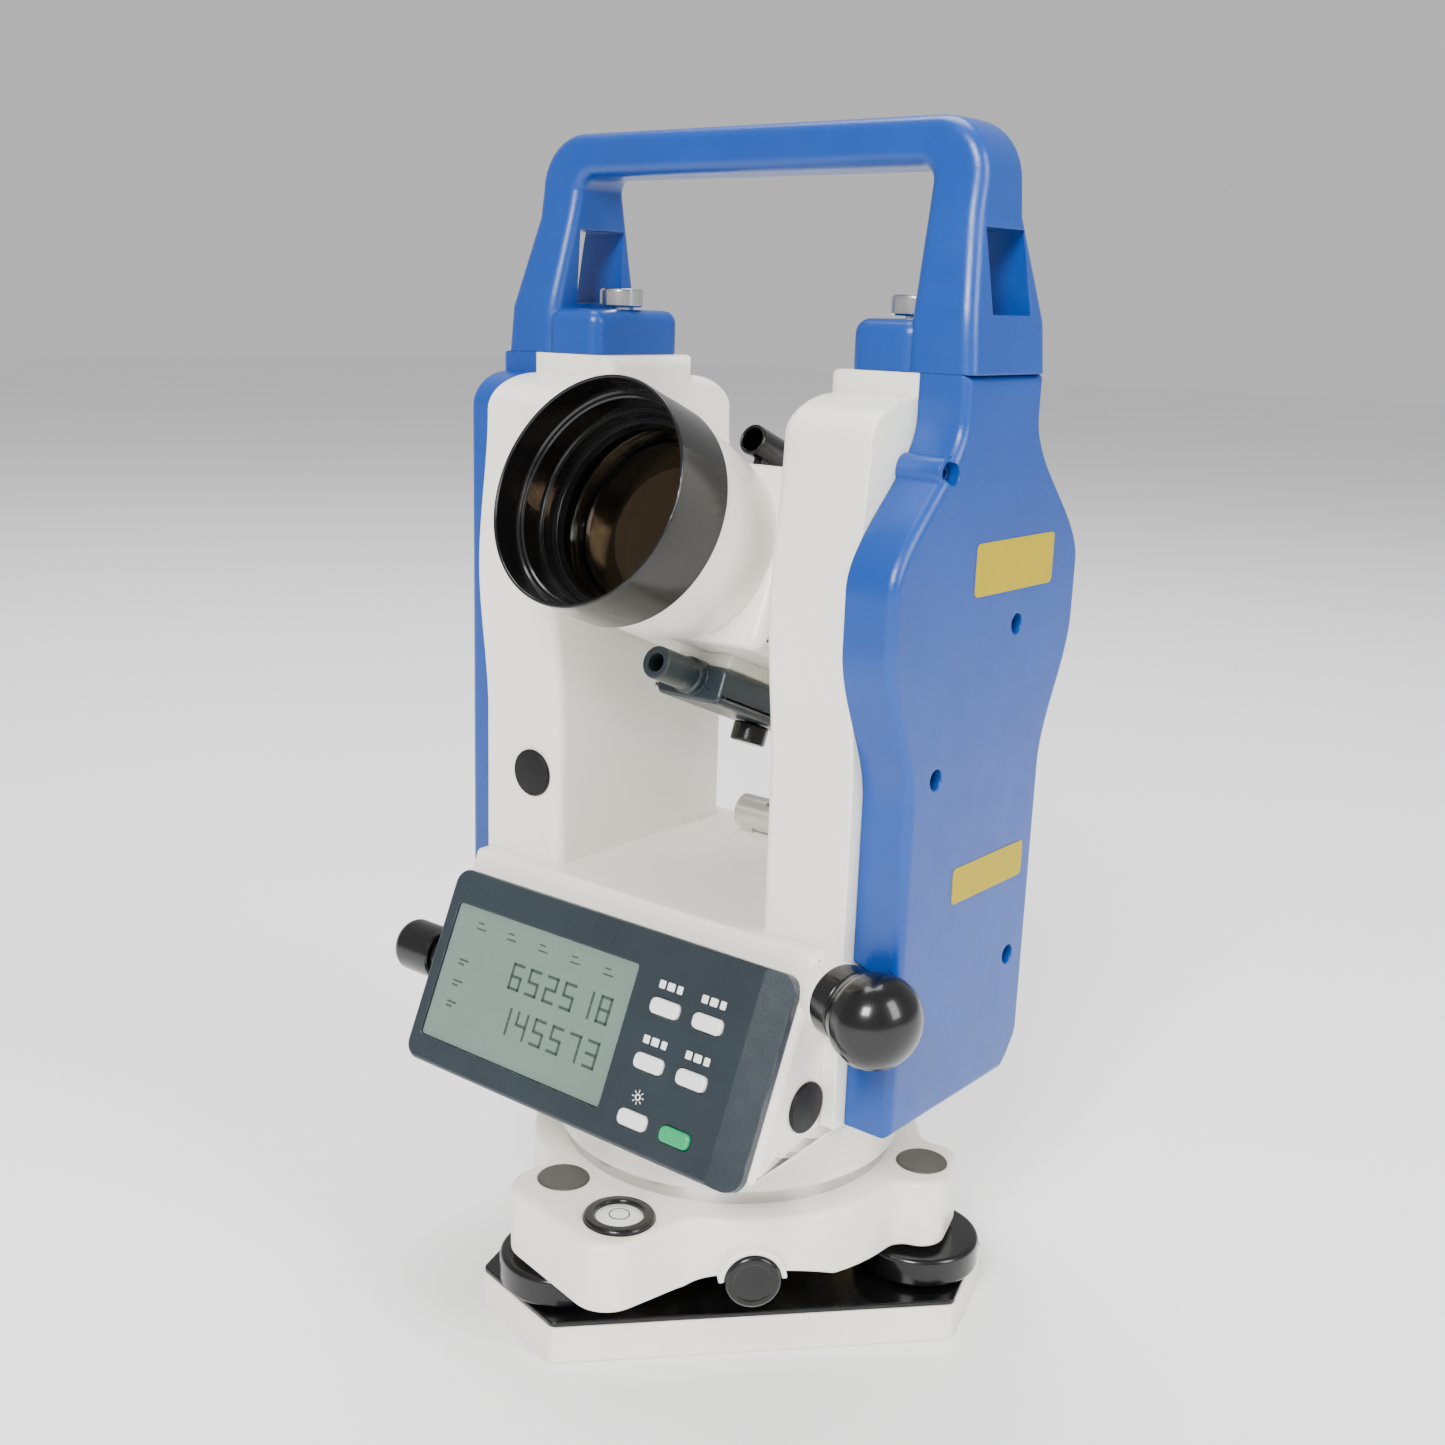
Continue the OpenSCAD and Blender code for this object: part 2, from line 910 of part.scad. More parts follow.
module telescope_tube() {
    color("ivory")
        on_telescope()
            difference() {
                union() {
                    rotate_extrude()
                        polygon([[0, -52], [15, -52], [17, -36], [22, -30], [24.5, -24], [24.5, 22], [27, 40],
                                 [27, 52], [0, 52]]);
                    intersection() {
                        translate([-28, -24, -27])
                            cube([56, 48, 52]);
                        rod_x(-29, 29, 0, 0, 33);
                    }
                    rod_x(-34.6, 34.6, 0, 0, 15);
                    translate([-9, -28, -20])
                        cube([18, 8, 29]);
                }
                translate([0, 0, -60])
                    cylinder(h = 50, r = 12);
                translate([0, 0, -20])
                    cylinder(h = 60, r = 20.5);
                translate([0, 0, 38])
                    cylinder(h = 20, r = 24);
                for (side = [-1, 1])
                    rod_x(side > 0 ? 22 : -36, side > 0 ? 36 : -22, 0, 0, axle_r + gap);
            }
}

module trunnion_axles() {
    color("silver")
        on_telescope() {
            rod_x(22, 58, 0, 0, axle_r);
            rod_x(-50, -22, 0, 0, axle_r);
        }
}

module vertical_circle() {
    color("lightcyan")
        on_telescope()
            difference() {
                rod_x(50, 52, 0, 0, 28);
                rod_x(49, 53, 0, 0, axle_r + gap);
            }
}

module objective_hood() {
    color("black")
        on_telescope()
            rotate_extrude()
                polygon([[24.9, 52], [28.4, 52], [hood_r, 53], [hood_r, hood_front - 0.7],
                         [hood_r - 0.4, hood_front], [hood_r - 1.1, hood_front], [27.7, 63],
                         [26.2, 63], [26, 56.5], [24.9, 56.5]]);
}

module objective_lens() {
    color("lightsteelblue")
        on_telescope()
            rotate_extrude()
                polygon(concat([[0, 40], [23.9, 40], [23.9, 47]],
                               [for (i = [1 : 8]) [23.9 * (1 - i / 8), 47 + 4 * (1 - pow(1 - i / 8, 2))]]));
}

module ring_sight() {
    color("black")
        on_telescope() {
            translate([0, 33, -10])
                ring(24, 4.2, 2.9);
            for (z = [-6, 5])
                translate([-1.5, 24.55, z])
                    cube([3, 4.8, 4]);
        }
}

module pointer_unit() {
    color("darkslategray")
        on_telescope() {
            difference() {
                union() {
                    translate([-11, -38, -34])
                        cube([22, 10, 46]);
                    translate([-12, -36.5, -35])
                        cube([24, 1.5, 46]);
                    translate([0, -32, 10])
                        cylinder(h = 18, r = 4.4);
                }
                translate([0, -32, 18])
                    cylinder(h = 20, r = 2.4);
                translate([0, -41, -20])
                    rotate([-90, 0, 0])
                        cylinder(h = 8, r = 2 + running);
            }
        }
}

module pointer_knob() {
    color("black")
        on_telescope()
            translate([0, -38.3, -20])
                rotate([90, 0, 0]) {
                    fluted(5.5, 5, 18, 0.4);
                    translate([0, 0, -4])
                        cylinder(h = 5, r = 2);
                }
}

module focus_ring() {
    color("black")
        on_telescope()
            difference() {
                translate([0, 0, -50])
                    fluted(13, 20, 36, 0.8);
                translate([0, 0, -51])
                    rotate_extrude()
                        polygon([[0, 0], [15.2, 0], [17.2, 15], [0, 15]]);
            }
}

module focus_lens() {
    color("lightsteelblue")
        on_telescope()
            translate([0, 0, 6])
                cylinder(h = 7, r = 20.45);
}

module reticle() {
    color("lightcyan")
        on_telescope()
            translate([0, 0, -44])
                cylinder(h = 2, r = 11.98);
}

module eyepiece_ring() {
    color("black")
        on_telescope()
            translate([0, 0, -74])
                difference() {
                    union() {
                        cylinder(h = 3, r = 11);
                        translate([0, 0, 3])
                            fluted(18.6, 13.5, 30, 0.6);
                        cylinder(h = 27, r = 11.95);
                    }
                    translate([0, 0, -1])
                        cylinder(h = 30, r = 8);
                }
}

module eyepiece_lens() {
    color("lightsteelblue")
        on_telescope()
            translate([0, 0, -72])
                cylinder(h = 4, r = 7.98);
}

base_plate();
spring_plate();
spring_plate_screws();
foot_screw_a();
foot_screw_b();
foot_screw_c();
levelling_head();
foot_screw_bushes();
foot_screw_caps();
circular_level_cup();
circular_level_vial();
lock_ring();
lock_knob();
centring_flange();
axis_sleeve();
horizontal_circle();
axis_spindle();
alidade_frame();
right_cover();
left_cover();
cover_screws();
display_bezel();
display_glass();
display_board();
rear_panel();
plate_level();
plate_level_vial();
side_plugs();
side_labels();
handle();
handle_screw_left();
handle_screw_right();
trunnion_bearings();
plummet_tube();
plummet_ring();
battery_pack();
battery_latch();
key_1();
key_2();
key_3();
key_4();
key_5();
power_key();
horizontal_clamp();
horizontal_tangent();
vertical_clamp_collar();
vertical_tangent();
telescope_tube();
trunnion_axles();
vertical_circle();
objective_hood();
objective_lens();
ring_sight();
pointer_unit();
pointer_knob();
focus_ring();
focus_lens();
reticle();
eyepiece_ring();
eyepiece_lens();
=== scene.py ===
import json
import math

import bmesh
import bpy
from mathutils import Matrix, Vector


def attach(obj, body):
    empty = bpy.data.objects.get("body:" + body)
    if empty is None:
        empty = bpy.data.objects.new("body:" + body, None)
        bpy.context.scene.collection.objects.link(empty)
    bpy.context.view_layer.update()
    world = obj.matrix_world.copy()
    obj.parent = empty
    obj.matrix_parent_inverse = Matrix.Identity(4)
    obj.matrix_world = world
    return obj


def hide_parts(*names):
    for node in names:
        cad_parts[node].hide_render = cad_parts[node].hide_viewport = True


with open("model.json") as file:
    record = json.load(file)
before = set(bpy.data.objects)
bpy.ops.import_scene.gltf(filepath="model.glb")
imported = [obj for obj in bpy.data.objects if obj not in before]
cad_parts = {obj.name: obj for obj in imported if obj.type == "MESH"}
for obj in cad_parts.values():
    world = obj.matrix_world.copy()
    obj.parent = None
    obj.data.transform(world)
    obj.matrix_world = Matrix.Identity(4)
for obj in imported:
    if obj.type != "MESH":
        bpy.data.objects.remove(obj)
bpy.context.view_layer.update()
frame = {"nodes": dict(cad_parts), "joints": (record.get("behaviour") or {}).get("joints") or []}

MM = 0.001
JOINTS = {joint["name"]: joint for joint in frame["joints"]}


# ---------- places taken from the frame ----------

def anchor(joint):
    """The point that a joint turns about, in millimetres."""
    return Vector(JOINTS[joint]["pos_m"]) / MM


# ---------- materials ----------

class Nodes:
    """A material's node tree, with short calls for the nodes that the finishes share."""

    def __init__(self, name):
        self.material = bpy.data.materials.new(name)
        self.material.use_nodes = True
        self.tree = self.material.node_tree
        self.shader = self.tree.nodes["Principled BSDF"]
        self.place = self.add("ShaderNodeTexCoord").outputs["Object"]

    def add(self, kind, **values):
        node = self.tree.nodes.new(kind)
        for key, value in values.items():
            setattr(node, key, value)
        return node

    def link(self, out, into):
        self.tree.links.new(out, into)

    def noise(self, scale, detail=3.0, rough=0.55):
        node = self.add("ShaderNodeTexNoise")
        node.inputs["Scale"].default_value = scale
        node.inputs["Detail"].default_value = detail
        node.inputs["Roughness"].default_value = rough
        self.link(self.place, node.inputs["Vector"])
        return node.outputs["Fac"]

    def stretch(self, value, low, high, to_low=0.0, to_high=1.0):
        node = self.add("ShaderNodeMapRange")
        self.link(value, node.inputs["Value"])
        limits = {"From Min": low, "From Max": high, "To Min": to_low, "To Max": to_high}
        for key, number in limits.items():
            node.inputs[key].default_value = number
        return node.outputs["Result"]

    def mix(self, factor, first, second):
        node = self.add("ShaderNodeMix", data_type="RGBA")
        self.link(factor, node.inputs["Factor"])
        for socket, value in ((node.inputs[6], first), (node.inputs[7], second)):
            if isinstance(value, tuple):
                socket.default_value = (*value, 1.0)
            else:
                self.link(value, socket)
        return node.outputs[2]

    def edges(self, radius):
        """1 along convex edges and corners, 0 on open faces."""
        soft = self.add("ShaderNodeBevel", samples=4)
        soft.inputs["Radius"].default_value = radius * MM
        here = self.add("ShaderNodeNewGeometry")
        dot = self.add("ShaderNodeVectorMath", operation="DOT_PRODUCT")
        self.link(soft.outputs["Normal"], dot.inputs[0])
        self.link(here.outputs["Normal"], dot.inputs[1])
        return self.stretch(dot.outputs["Value"], 0.97, 0.8)

    def bump(self, height, strength, distance, soft_radius=0.0):
        node = self.add("ShaderNodeBump")
        node.inputs["Strength"].default_value = strength
        node.inputs["Distance"].default_value = distance * MM
        self.link(height, node.inputs["Height"])
        if soft_radius:
            soft = self.add("ShaderNodeBevel", samples=4)
            soft.inputs["Radius"].default_value = soft_radius * MM
            self.link(soft.outputs["Normal"], node.inputs["Normal"])
        self.link(node.outputs["Normal"], self.shader.inputs["Normal"])

    def set(self, **values):
        for key, value in values.items():
            socket = self.shader.inputs[key.replace("_", " ")]
            socket.default_value = (*value, 1.0) if isinstance(value, tuple) else value


def coated(name, colour, rough, grain, grain_size=0.8, wear=None, wear_at=0.8, soft=0.0, shade=0.9,
           metallic=0.0, **shader):
    """Paint, plastic or metal: cloudy colour, a fine grain in the bump, smears in the gloss and worn edges.
    grain and grain_size are the grain's depth and size, wear_at and soft are radii, all in millimetres."""
    n = Nodes(name)
    darker = tuple(c * shade for c in colour)
    cloud = n.stretch(n.noise(38, 4), 0.35, 0.7)
    tone = n.mix(cloud, colour, darker)
    speck = n.stretch(n.noise(1000 / grain_size, 2), 0.3, 0.7)
    if wear:
        rub = n.add("ShaderNodeMath", operation="MULTIPLY", use_clamp=True)
        n.link(n.edges(wear_at), rub.inputs[0])
        n.link(n.stretch(n.noise(220, 5, 0.7), 0.48, 0.66), rub.inputs[1])
        tone = n.mix(rub.outputs["Value"], tone, wear)
    n.link(tone, n.shader.inputs["Base Color"])
    smear = n.stretch(n.noise(90, 5, 0.65), 0.3, 0.75, rough * 0.85, min(1.0, rough * 1.25))
    n.link(smear, n.shader.inputs["Roughness"])
    n.bump(speck, 0.35, grain, soft)
    n.set(Metallic=metallic, **shader)
    return n.material


def clear(name, tint, rough=0.02, ior=1.5, coat=None):
    """Glass: a tinted transmission with faint smears, and a film that colours what it reflects."""
    n = Nodes(name)
    cloud = n.stretch(n.noise(60, 4), 0.3, 0.8)
    n.link(n.mix(cloud, tint, tuple(c * 0.94 for c in tint)), n.shader.inputs["Base Color"])
    n.link(n.stretch(n.noise(150, 4), 0.45, 0.8, rough, rough + 0.05), n.shader.inputs["Roughness"])
    n.bump(n.noise(25, 2), 0.1, 0.02)
    n.set(Transmission_Weight=1.0, IOR=ior)
    if coat:
        n.set(Specular_Tint=coat)
    return n.material


BLUE = (0.0, 0.046, 0.27)
BLUE_WORN = (0.01, 0.09, 0.36)
BLACK = (0.004, 0.004, 0.0045)
BLACK_WORN = (0.03, 0.03, 0.03)

SLOTS = {
    "cream_paint": coated(
        "cream paint", (0.84, 0.825, 0.74), 0.34, 0.03, 1.1, (0.60, 0.57, 0.50), 0.6, 0.8,
        shade=0.955, Coat_Weight=0.25, Coat_Roughness=0.2),
    "blue_paint": coated(
        "blue paint", BLUE, 0.30, 0.03, 1.0, BLUE_WORN, 0.5, 0.8,
        shade=0.86, Coat_Weight=0.35, Coat_Roughness=0.16),
    "blue_plastic": coated("blue plastic", BLUE, 0.32, 0.05, 0.7, BLUE_WORN, 0.5, 0.8, shade=0.88),
    "slate_plastic": coated(
        "slate plastic", (0.017, 0.026, 0.033), 0.30, 0.04, 0.6, (0.10, 0.12, 0.14), 0.5, 0.5, shade=0.8),
    "black_plastic": coated(
        "black plastic", (0.003, 0.003, 0.0033), 0.24, 0.004, 0.5, BLACK_WORN, 0.3, 0.3,
        shade=0.7, Coat_Weight=0.35, Coat_Roughness=0.09, Specular_IOR_Level=0.3),
    "black_anodised": coated(
        "black anodised", BLACK, 0.24, 0.004, 0.4, (0.05, 0.05, 0.05), 0.25, 0.3,
        shade=0.7, Coat_Weight=0.3, Coat_Roughness=0.1, Specular_IOR_Level=0.3),
    "black_rubber": coated(
        "black rubber", BLACK, 0.5, 0.04, 0.4, BLACK_WORN, 0.3, 0.3, shade=0.75, Specular_IOR_Level=0.25),
    "grey_cap": coated("grey cap", (0.055, 0.052, 0.045), 0.45, 0.05, 0.5, (0.20, 0.19, 0.17), 0.3, 0.3),
    "display_glass": coated(
        "display glass", (0.13, 0.19, 0.16), 0.25, 0.004, 0.3, shade=0.93,
        Coat_Weight=0.8, Coat_Roughness=0.05),
    "coated_glass": clear("coated glass", (0.42, 0.44, 0.40), coat=(1.0, 0.62, 0.30)),
    "clear_glass": clear("clear glass", (0.96, 0.98, 0.97)),
    "key_white": coated(
        "white key", (0.80, 0.80, 0.79), 0.42, 0.03, 0.4, (0.62, 0.62, 0.60), 0.3, 0.3, shade=0.96),
    "key_green": coated("green key", (0.0, 0.30, 0.11), 0.38, 0.03, 0.4, (0.10, 0.60, 0.34), 0.3, 0.3),
    "steel": coated(
        "steel", (0.60, 0.60, 0.60), 0.24, 0.01, 0.3, (0.80, 0.80, 0.80), 0.3, 0.2, metallic=1.0),
    "spring_steel": coated(
        "spring steel", (0.16, 0.16, 0.17), 0.30, 0.01, 0.3, (0.45, 0.45, 0.45), 0.3, 0.2, metallic=1.0),
    "brass": coated(
        "brass", (0.72, 0.50, 0.20), 0.26, 0.01, 0.3, (0.88, 0.68, 0.34), 0.3, 0.2, metallic=1.0),
    "nickel": coated(
        "nickel", (0.72, 0.71, 0.68), 0.2, 0.008, 0.3, (0.88, 0.87, 0.85), 0.3, 0.2, metallic=1.0),
    "board": coated("circuit board", (0.02, 0.14, 0.05), 0.35, 0.03, 0.5, shade=0.7),
    "label_yellow": coated(
        "yellow label", (0.40, 0.30, 0.0), 0.45, 0.01, 0.6, shade=0.95, Specular_IOR_Level=0.2),
}

# Looks that have no slot of their own.
LCD_SIGNS = coated("display signs", (0.035, 0.055, 0.048), 0.4, 0.004, 0.3, shade=0.9)
# The cover screws' near-black navy is painted shade: it stands in for the shade down their sunk holes in the
# blue cover.
DARK_SCREWS = coated("screws in painted hole shade", (0.004, 0.025, 0.13), 0.35, 0.01, 0.3, shade=0.8)
LEVEL_FLUID = coated("level fluid", (0.80, 0.84, 0.76), 0.2, 0.004, 0.5, shade=0.97, Coat_Weight=1.0,
                     Coat_Roughness=0.04)


# ---------- frame nodes keep their shape and take their slot's material ----------

for node, thing in frame["nodes"].items():
    slot = thing.data.materials[0].name.split(".")[0] if thing.data.materials else "steel"
    chosen = SLOTS.get(slot, SLOTS["steel"])
    if thing.data.materials:
        thing.material_slots[0].material = chosen
    else:
        thing.data.materials.append(chosen)


# ---------- shapes, as (points, faces) in millimetres ----------

def blend(t):
    """A smooth step: 0 at t = 0, 1 at t = 1, level at both ends."""
    return t * t * (3 - 2 * t)


def arc(centre, radius, start, end, steps=6):
    """Points on an arc in a plane, angles in degrees."""
    turn = [math.radians(start + (end - start) * i / steps) for i in range(steps + 1)]
    return [(centre[0] + radius * math.cos(a), centre[1] + radius * math.sin(a)) for a in turn]


def fillet(corners, radius, steps=5):
    """A polygon with each corner rounded; radius is one number or one for each corner."""
    radii = radius if isinstance(radius, (list, tuple)) else [radius] * len(corners)
    points = []
    for i, (corner, r) in enumerate(zip(corners, radii)):
        here = Vector(corner)
        back = (Vector(corners[i - 1]) - here).normalized()
        on = (Vector(corners[(i + 1) % len(corners)]) - here).normalized()
        half = math.acos(max(-1.0, min(1.0, back.dot(on)))) / 2
        if r <= 0 or half > math.radians(88):
            points.append(tuple(here))
            continue
        centre = here + (back + on).normalized() * r / math.sin(half)
        first = here + back * r / math.tan(half) - centre
        last = here + on * r / math.tan(half) - centre
        sweep = math.atan2(first.x * last.y - first.y * last.x, first.dot(last))
        for step in range(steps + 1):
            turned = first.copy()
            turned.rotate(Matrix.Rotation(sweep * step / steps, 2))
            points.append(tuple(centre + turned))
    return points


def inset(outline, amount):
    """The outline moved inwards along its corners' bisectors; it runs anticlockwise."""
    moved = []
    for i, corner in enumerate(outline):
        here = Vector(corner)
        back = (here - Vector(outline[i - 1])).normalized()
        on = (Vector(outline[(i + 1) % len(outline)]) - here).normalized()
        normal = Vector((-(back.y + on.y), back.x + on.x))
        normal = normal.normalized() if normal.length > 1e-9 else Vector((-on.y, on.x))
        lean = max(0.35, normal.dot(Vector((-on.y, on.x))))
        moved.append(tuple(here + normal * amount / lean))
    return moved


def shifted(outline, dx, dy):
    """The outline moved by dx and dy."""
    return [(x + dx, y + dy) for x, y in outline]


def rect(width, height, radius, steps=4):
    """A rectangle round the origin, with rounded corners."""
    w, h = width / 2, height / 2
    return fillet([(w, -h), (w, h), (-w, h), (-w, -h)], radius, steps)


def slab(outline, low, high, soft_low=0.0, soft_high=0.0, steps=4):
    """An outline in X and Y extruded from low to high along Z, with rounded rims."""
    area = sum(outline[i - 1][0] * p[1] - p[0] * outline[i - 1][1] for i, p in enumerate(outline))
    if area < 0:
        outline = outline[::-1]
    rings = []
    for k in range(steps + 1 if soft_low else 1):
        a = math.pi / 2 * (1 - k / steps) if soft_low else 0.0
        rings.append((soft_low * (1 - math.cos(a)), low + soft_low * (1 - math.sin(a))))
    for k in range(steps + 1 if soft_high else 1):
        a = math.pi / 2 * k / steps if soft_high else 0.0
        rings.append((soft_high * (1 - math.cos(a)), high - soft_high * (1 - math.sin(a))))
    points, faces, n = [], [], len(outline)
    for step, height in rings:
        points += [(x, y, height) for x, y in (inset(outline, step) if step else outline)]
    for ring in range(len(rings) - 1):
        for i in range(n):
            a, b = ring * n + i, ring * n + (i + 1) % n
            faces.append((a, b, b + n, a + n))
    faces.append(tuple(range(n))[::-1])
    faces.append(tuple(range((len(rings) - 1) * n, len(rings) * n)))
    return points, faces


def lathe(profile, turns=72, flutes=0, depth=0.0, fluted=None):
    """A solid turned about Z from (radius, height) points. A loop if neither end is on the axis.
    fluted = (low, high) heights between which the flutes are cut."""
    closed = profile[0][0] > 1e-6
    points, faces, rows = [], [], []
    for r, z in profile:
        if r <= 1e-6:
            rows.append([len(points)])
            points.append((0.0, 0.0, z))
            continue
        rows.append(list(range(len(points), len(points) + turns)))
        for i in range(turns):
            a = 2 * math.pi * i / turns
            cut = 0.0
            if flutes and fluted[0] <= z <= fluted[1]:
                cut = depth * max(0.0, math.cos(flutes * a)) ** 2
            points.append(((r - cut) * math.cos(a), (r - cut) * math.sin(a), z))
    pairs = list(zip(rows, rows[1:])) + ([(rows[-1], rows[0])] if closed else [])
    for low, high in pairs:
        for i in range(turns):
            j = (i + 1) % turns
            a, b = low[i % len(low)], low[j % len(low)]
            c, d = high[j % len(high)], high[i % len(high)]
            loop = [a]
            for v in (b, c, d):
                if v not in loop:
                    loop.append(v)
            if len(loop) > 2:
                faces.append(tuple(loop))
    return points, faces


def sweep(sections):
    """A solid through closed rings of the same number of points."""
    n = len(sections[0])
    points = [p for ring in sections for p in ring]
    faces = [(k * n + i, k * n + (i + 1) % n, (k + 1) * n + (i + 1) % n, (k + 1) * n + i)
             for k in range(len(sections) - 1) for i in range(n)]
    faces.append(tuple(range(n))[::-1])
    faces.append(tuple(range((len(sections) - 1) * n, len(sections) * n)))
    return points, faces


def at(matrix, shape):
    """The shape moved by the matrix."""
    return [tuple(matrix @ Vector(p)) for p in shape[0]], shape[1]


def block(low, high, radius=0.0, soft=0.0):
    """A box with rounded upright edges and rims."""
    size = [b - a for a, b in zip(low, high)]
    middle = Matrix.Translation(((low[0] + high[0]) / 2, (low[1] + high[1]) / 2, 0.0))
    return at(middle, slab(rect(size[0], size[1], radius), low[2], high[2], soft, soft))


def frame_of(origin, z, x=(1.0, 0.0, 0.0)):
    """The matrix of a local frame whose Z runs along z and whose X is as near to x as it can be."""
    z = Vector(z).normalized()
    y = z.cross(Vector(x)).normalized()
    x = y.cross(z)
    return Matrix.Translation(Vector(origin)) @ Matrix((x, y, z)).transposed().to_4x4()


def several(*shapes):
    """Shapes that don't touch, kept together as one."""
    points, faces = [], []
    for more, loops in shapes:
        faces += [tuple(i + len(points) for i in loop) for loop in loops]
        points += more
    return points, faces


def rod(place, radius, low, high, rim=0.0, turns=64):
    """A disc or rod along the local Z axis of place, with rounded rims."""
    rim = min(rim, radius * 0.5, (high - low) * 0.5)
    if rim:
        profile = [(0.0, low)] + arc((radius - rim, low + rim), rim, -90, 0, 4)
        profile += arc((radius - rim, high - rim), rim, 0, 90, 4) + [(0.0, high)]
    else:
        profile = [(0.0, low), (radius, low), (radius, high), (0.0, high)]
    return at(place, lathe(profile, turns))


# ---------- pieces ----------

def plain_object(name, shape):
    """An object with the shape's mesh, its doubled points merged and its faces turned outwards."""
    points, faces = shape
    mesh = bpy.data.meshes.new(name)
    mesh.from_pydata([tuple(c * MM for c in p) for p in points], [], faces)
    work = bmesh.new()
    work.from_mesh(mesh)
    bmesh.ops.remove_doubles(work, verts=work.verts, dist=0.001 * MM)
    bmesh.ops.recalc_face_normals(work, faces=work.faces)
    work.to_mesh(mesh)
    work.free()
    thing = bpy.data.objects.new(name, mesh)
    bpy.context.scene.collection.objects.link(thing)
    return thing


def bake(thing):
    """Replaces an object's mesh by what its modifiers make of it."""
    shown = thing.evaluated_get(bpy.context.evaluated_depsgraph_get())
    made = bpy.data.meshes.new_from_object(shown)
    thing.modifiers.clear()
    thing.data = made


def make(name, body, slot, solids, cuts=(), stands_for=(), soften=0.0, soften_above=50, sharp=32,
         paint=None, look=None):
    """A visible piece: the first solid, joined with the others, less the cuts.
    soften rounds edges sharper than soften_above degrees; paint is a second slot and a test of face
    centres, in millimetres, for the faces that take it."""
    thing = plain_object(name, solids[0])
    tools = []
    for operation, shapes in (("UNION", solids[1:]), ("DIFFERENCE", cuts)):
        for shape in shapes:
            tool = plain_object("tool", shape)
            tools.append(tool)
            step = thing.modifiers.new(operation.lower(), "BOOLEAN")
            step.operation = operation
            step.solver = "MANIFOLD"
            step.object = tool
    if soften:
        round_off = thing.modifiers.new("soften", "BEVEL")
        round_off.width = soften * MM
        round_off.segments = 3
        round_off.limit_method = "ANGLE"
        round_off.angle_limit = math.radians(soften_above)
        round_off.use_clamp_overlap = True
    if tools or soften:
        bake(thing)
    for tool in tools:
        bpy.data.objects.remove(tool)
    thing.data.name = name
    thing.data.materials.clear()
    thing.data.materials.append(look or SLOTS[slot])
    if paint:
        other, chosen = paint
        thing.data.materials.append(SLOTS[other])
        for face in thing.data.polygons:
            face.material_index = 1 if chosen(face.center / MM) else 0
    thing.data.shade_smooth()
    thing.data.set_sharp_from_angle(angle=math.radians(sharp))
    even = thing.modifiers.new("even_normals", "WEIGHTED_NORMAL")
    even.keep_sharp = True
    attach(thing, body)
    if stands_for:
        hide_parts(*([stands_for] if isinstance(stands_for, str) else stands_for))
    return thing


# ---------- sizes, places and local frames that pieces share ----------

# Millimetres, and PANEL_LEAN in degrees from upright. The uprights are the standards and their covers:
# the right cover widens over the waist, and all turn in to the neck over the shoulder.
DECK_TOP = 122.7
DECK_HALF = 41.04
PANEL_LEAN = 23.8
PANEL_SIDES = (-63, 55.7)
PANEL_LENGTH = 55.2
PANEL_WIDTH = PANEL_SIDES[1] - PANEL_SIDES[0]
PANEL_MIDDLE = ((PANEL_SIDES[0] + PANEL_SIDES[1]) / 2, -PANEL_LENGTH / 2)
SKIRT_RADIUS = 50
HEAD_RADIUS = 57.0
COVER_FOOT = 75.5
HANDLE_FOOT = 262
WAIST = 161
SHOULDER = 247
SHOULDER_RISE = 9.5
NECK_HALF = 18
RIGHT_COVER = (61.5, 75)
LEFT_COVER = (-77, -63.5)
HANDLE_SCREW = 48
CLAMP_TURN = math.radians(20)


def axis_at(x, y):
    """A frame whose Z axis passes through x and y."""
    return Matrix.Translation((x, y, 0.0))


STILL = Matrix.Identity(4)
UP = (0, 0, 1)
# Local Z runs along the frame's X, and local X and Y are the frame's Y and Z.
ACROSS = Matrix(((0, 0, 1, 0), (1, 0, 0, 0), (0, 1, 0, 0), (0, 0, 0, 1)))
TRUNNION = anchor("telescope_turn")
# Local Z points out of the objective.
TELESCOPE = Matrix.Translation(TRUNNION) @ Matrix.Rotation(math.radians(68), 4, "X")
INTO_TELESCOPE = TELESCOPE.inverted()
# The front panel's upper edge, with local Z out of the panel and local Y up along it.
PANEL = Matrix.Translation((0.0, -48.2, 118.9)) @ Matrix.Rotation(math.radians(90 - PANEL_LEAN), 4, "X")
REAR = Matrix.Diagonal((1, -1, 1, 1)) @ PANEL
FEET = [anchor("foot_screw_" + name + "_turn") for name in "abc"]
FOOT_TURN = [math.degrees(math.atan2(foot.y, foot.x)) for foot in FEET]
FOOT_AXES = [axis_at(foot.x, foot.y) for foot in FEET]
LEVEL = axis_at(13, -62.5)
LOCK = frame_of((0, 0, 27), JOINTS["lock_knob_turn"]["axis"], UP)
CLAMP = frame_of((57.0, -36.5, 112.0), (math.cos(CLAMP_TURN), -math.sin(CLAMP_TURN), 0), UP)
REAR_CLAMP = frame_of((48.5, 30.8, 150.0), (0, 1, 0), UP)


# ---------- levelling base ----------

def three_sided(apothem, cut, radius):
    """A triangle whose corners, one towards each foot screw, are cut off."""
    half = (apothem - cut / 2) / math.sin(math.radians(60))
    corners = []
    for turn in FOOT_TURN:
        a = math.radians(turn)
        ahead = Vector((math.cos(a), math.sin(a)))
        side = Vector((-math.sin(a), math.cos(a)))
        corners += [tuple(ahead * cut - side * half), tuple(ahead * cut + side * half)]
    return fillet(corners, radius, 6)


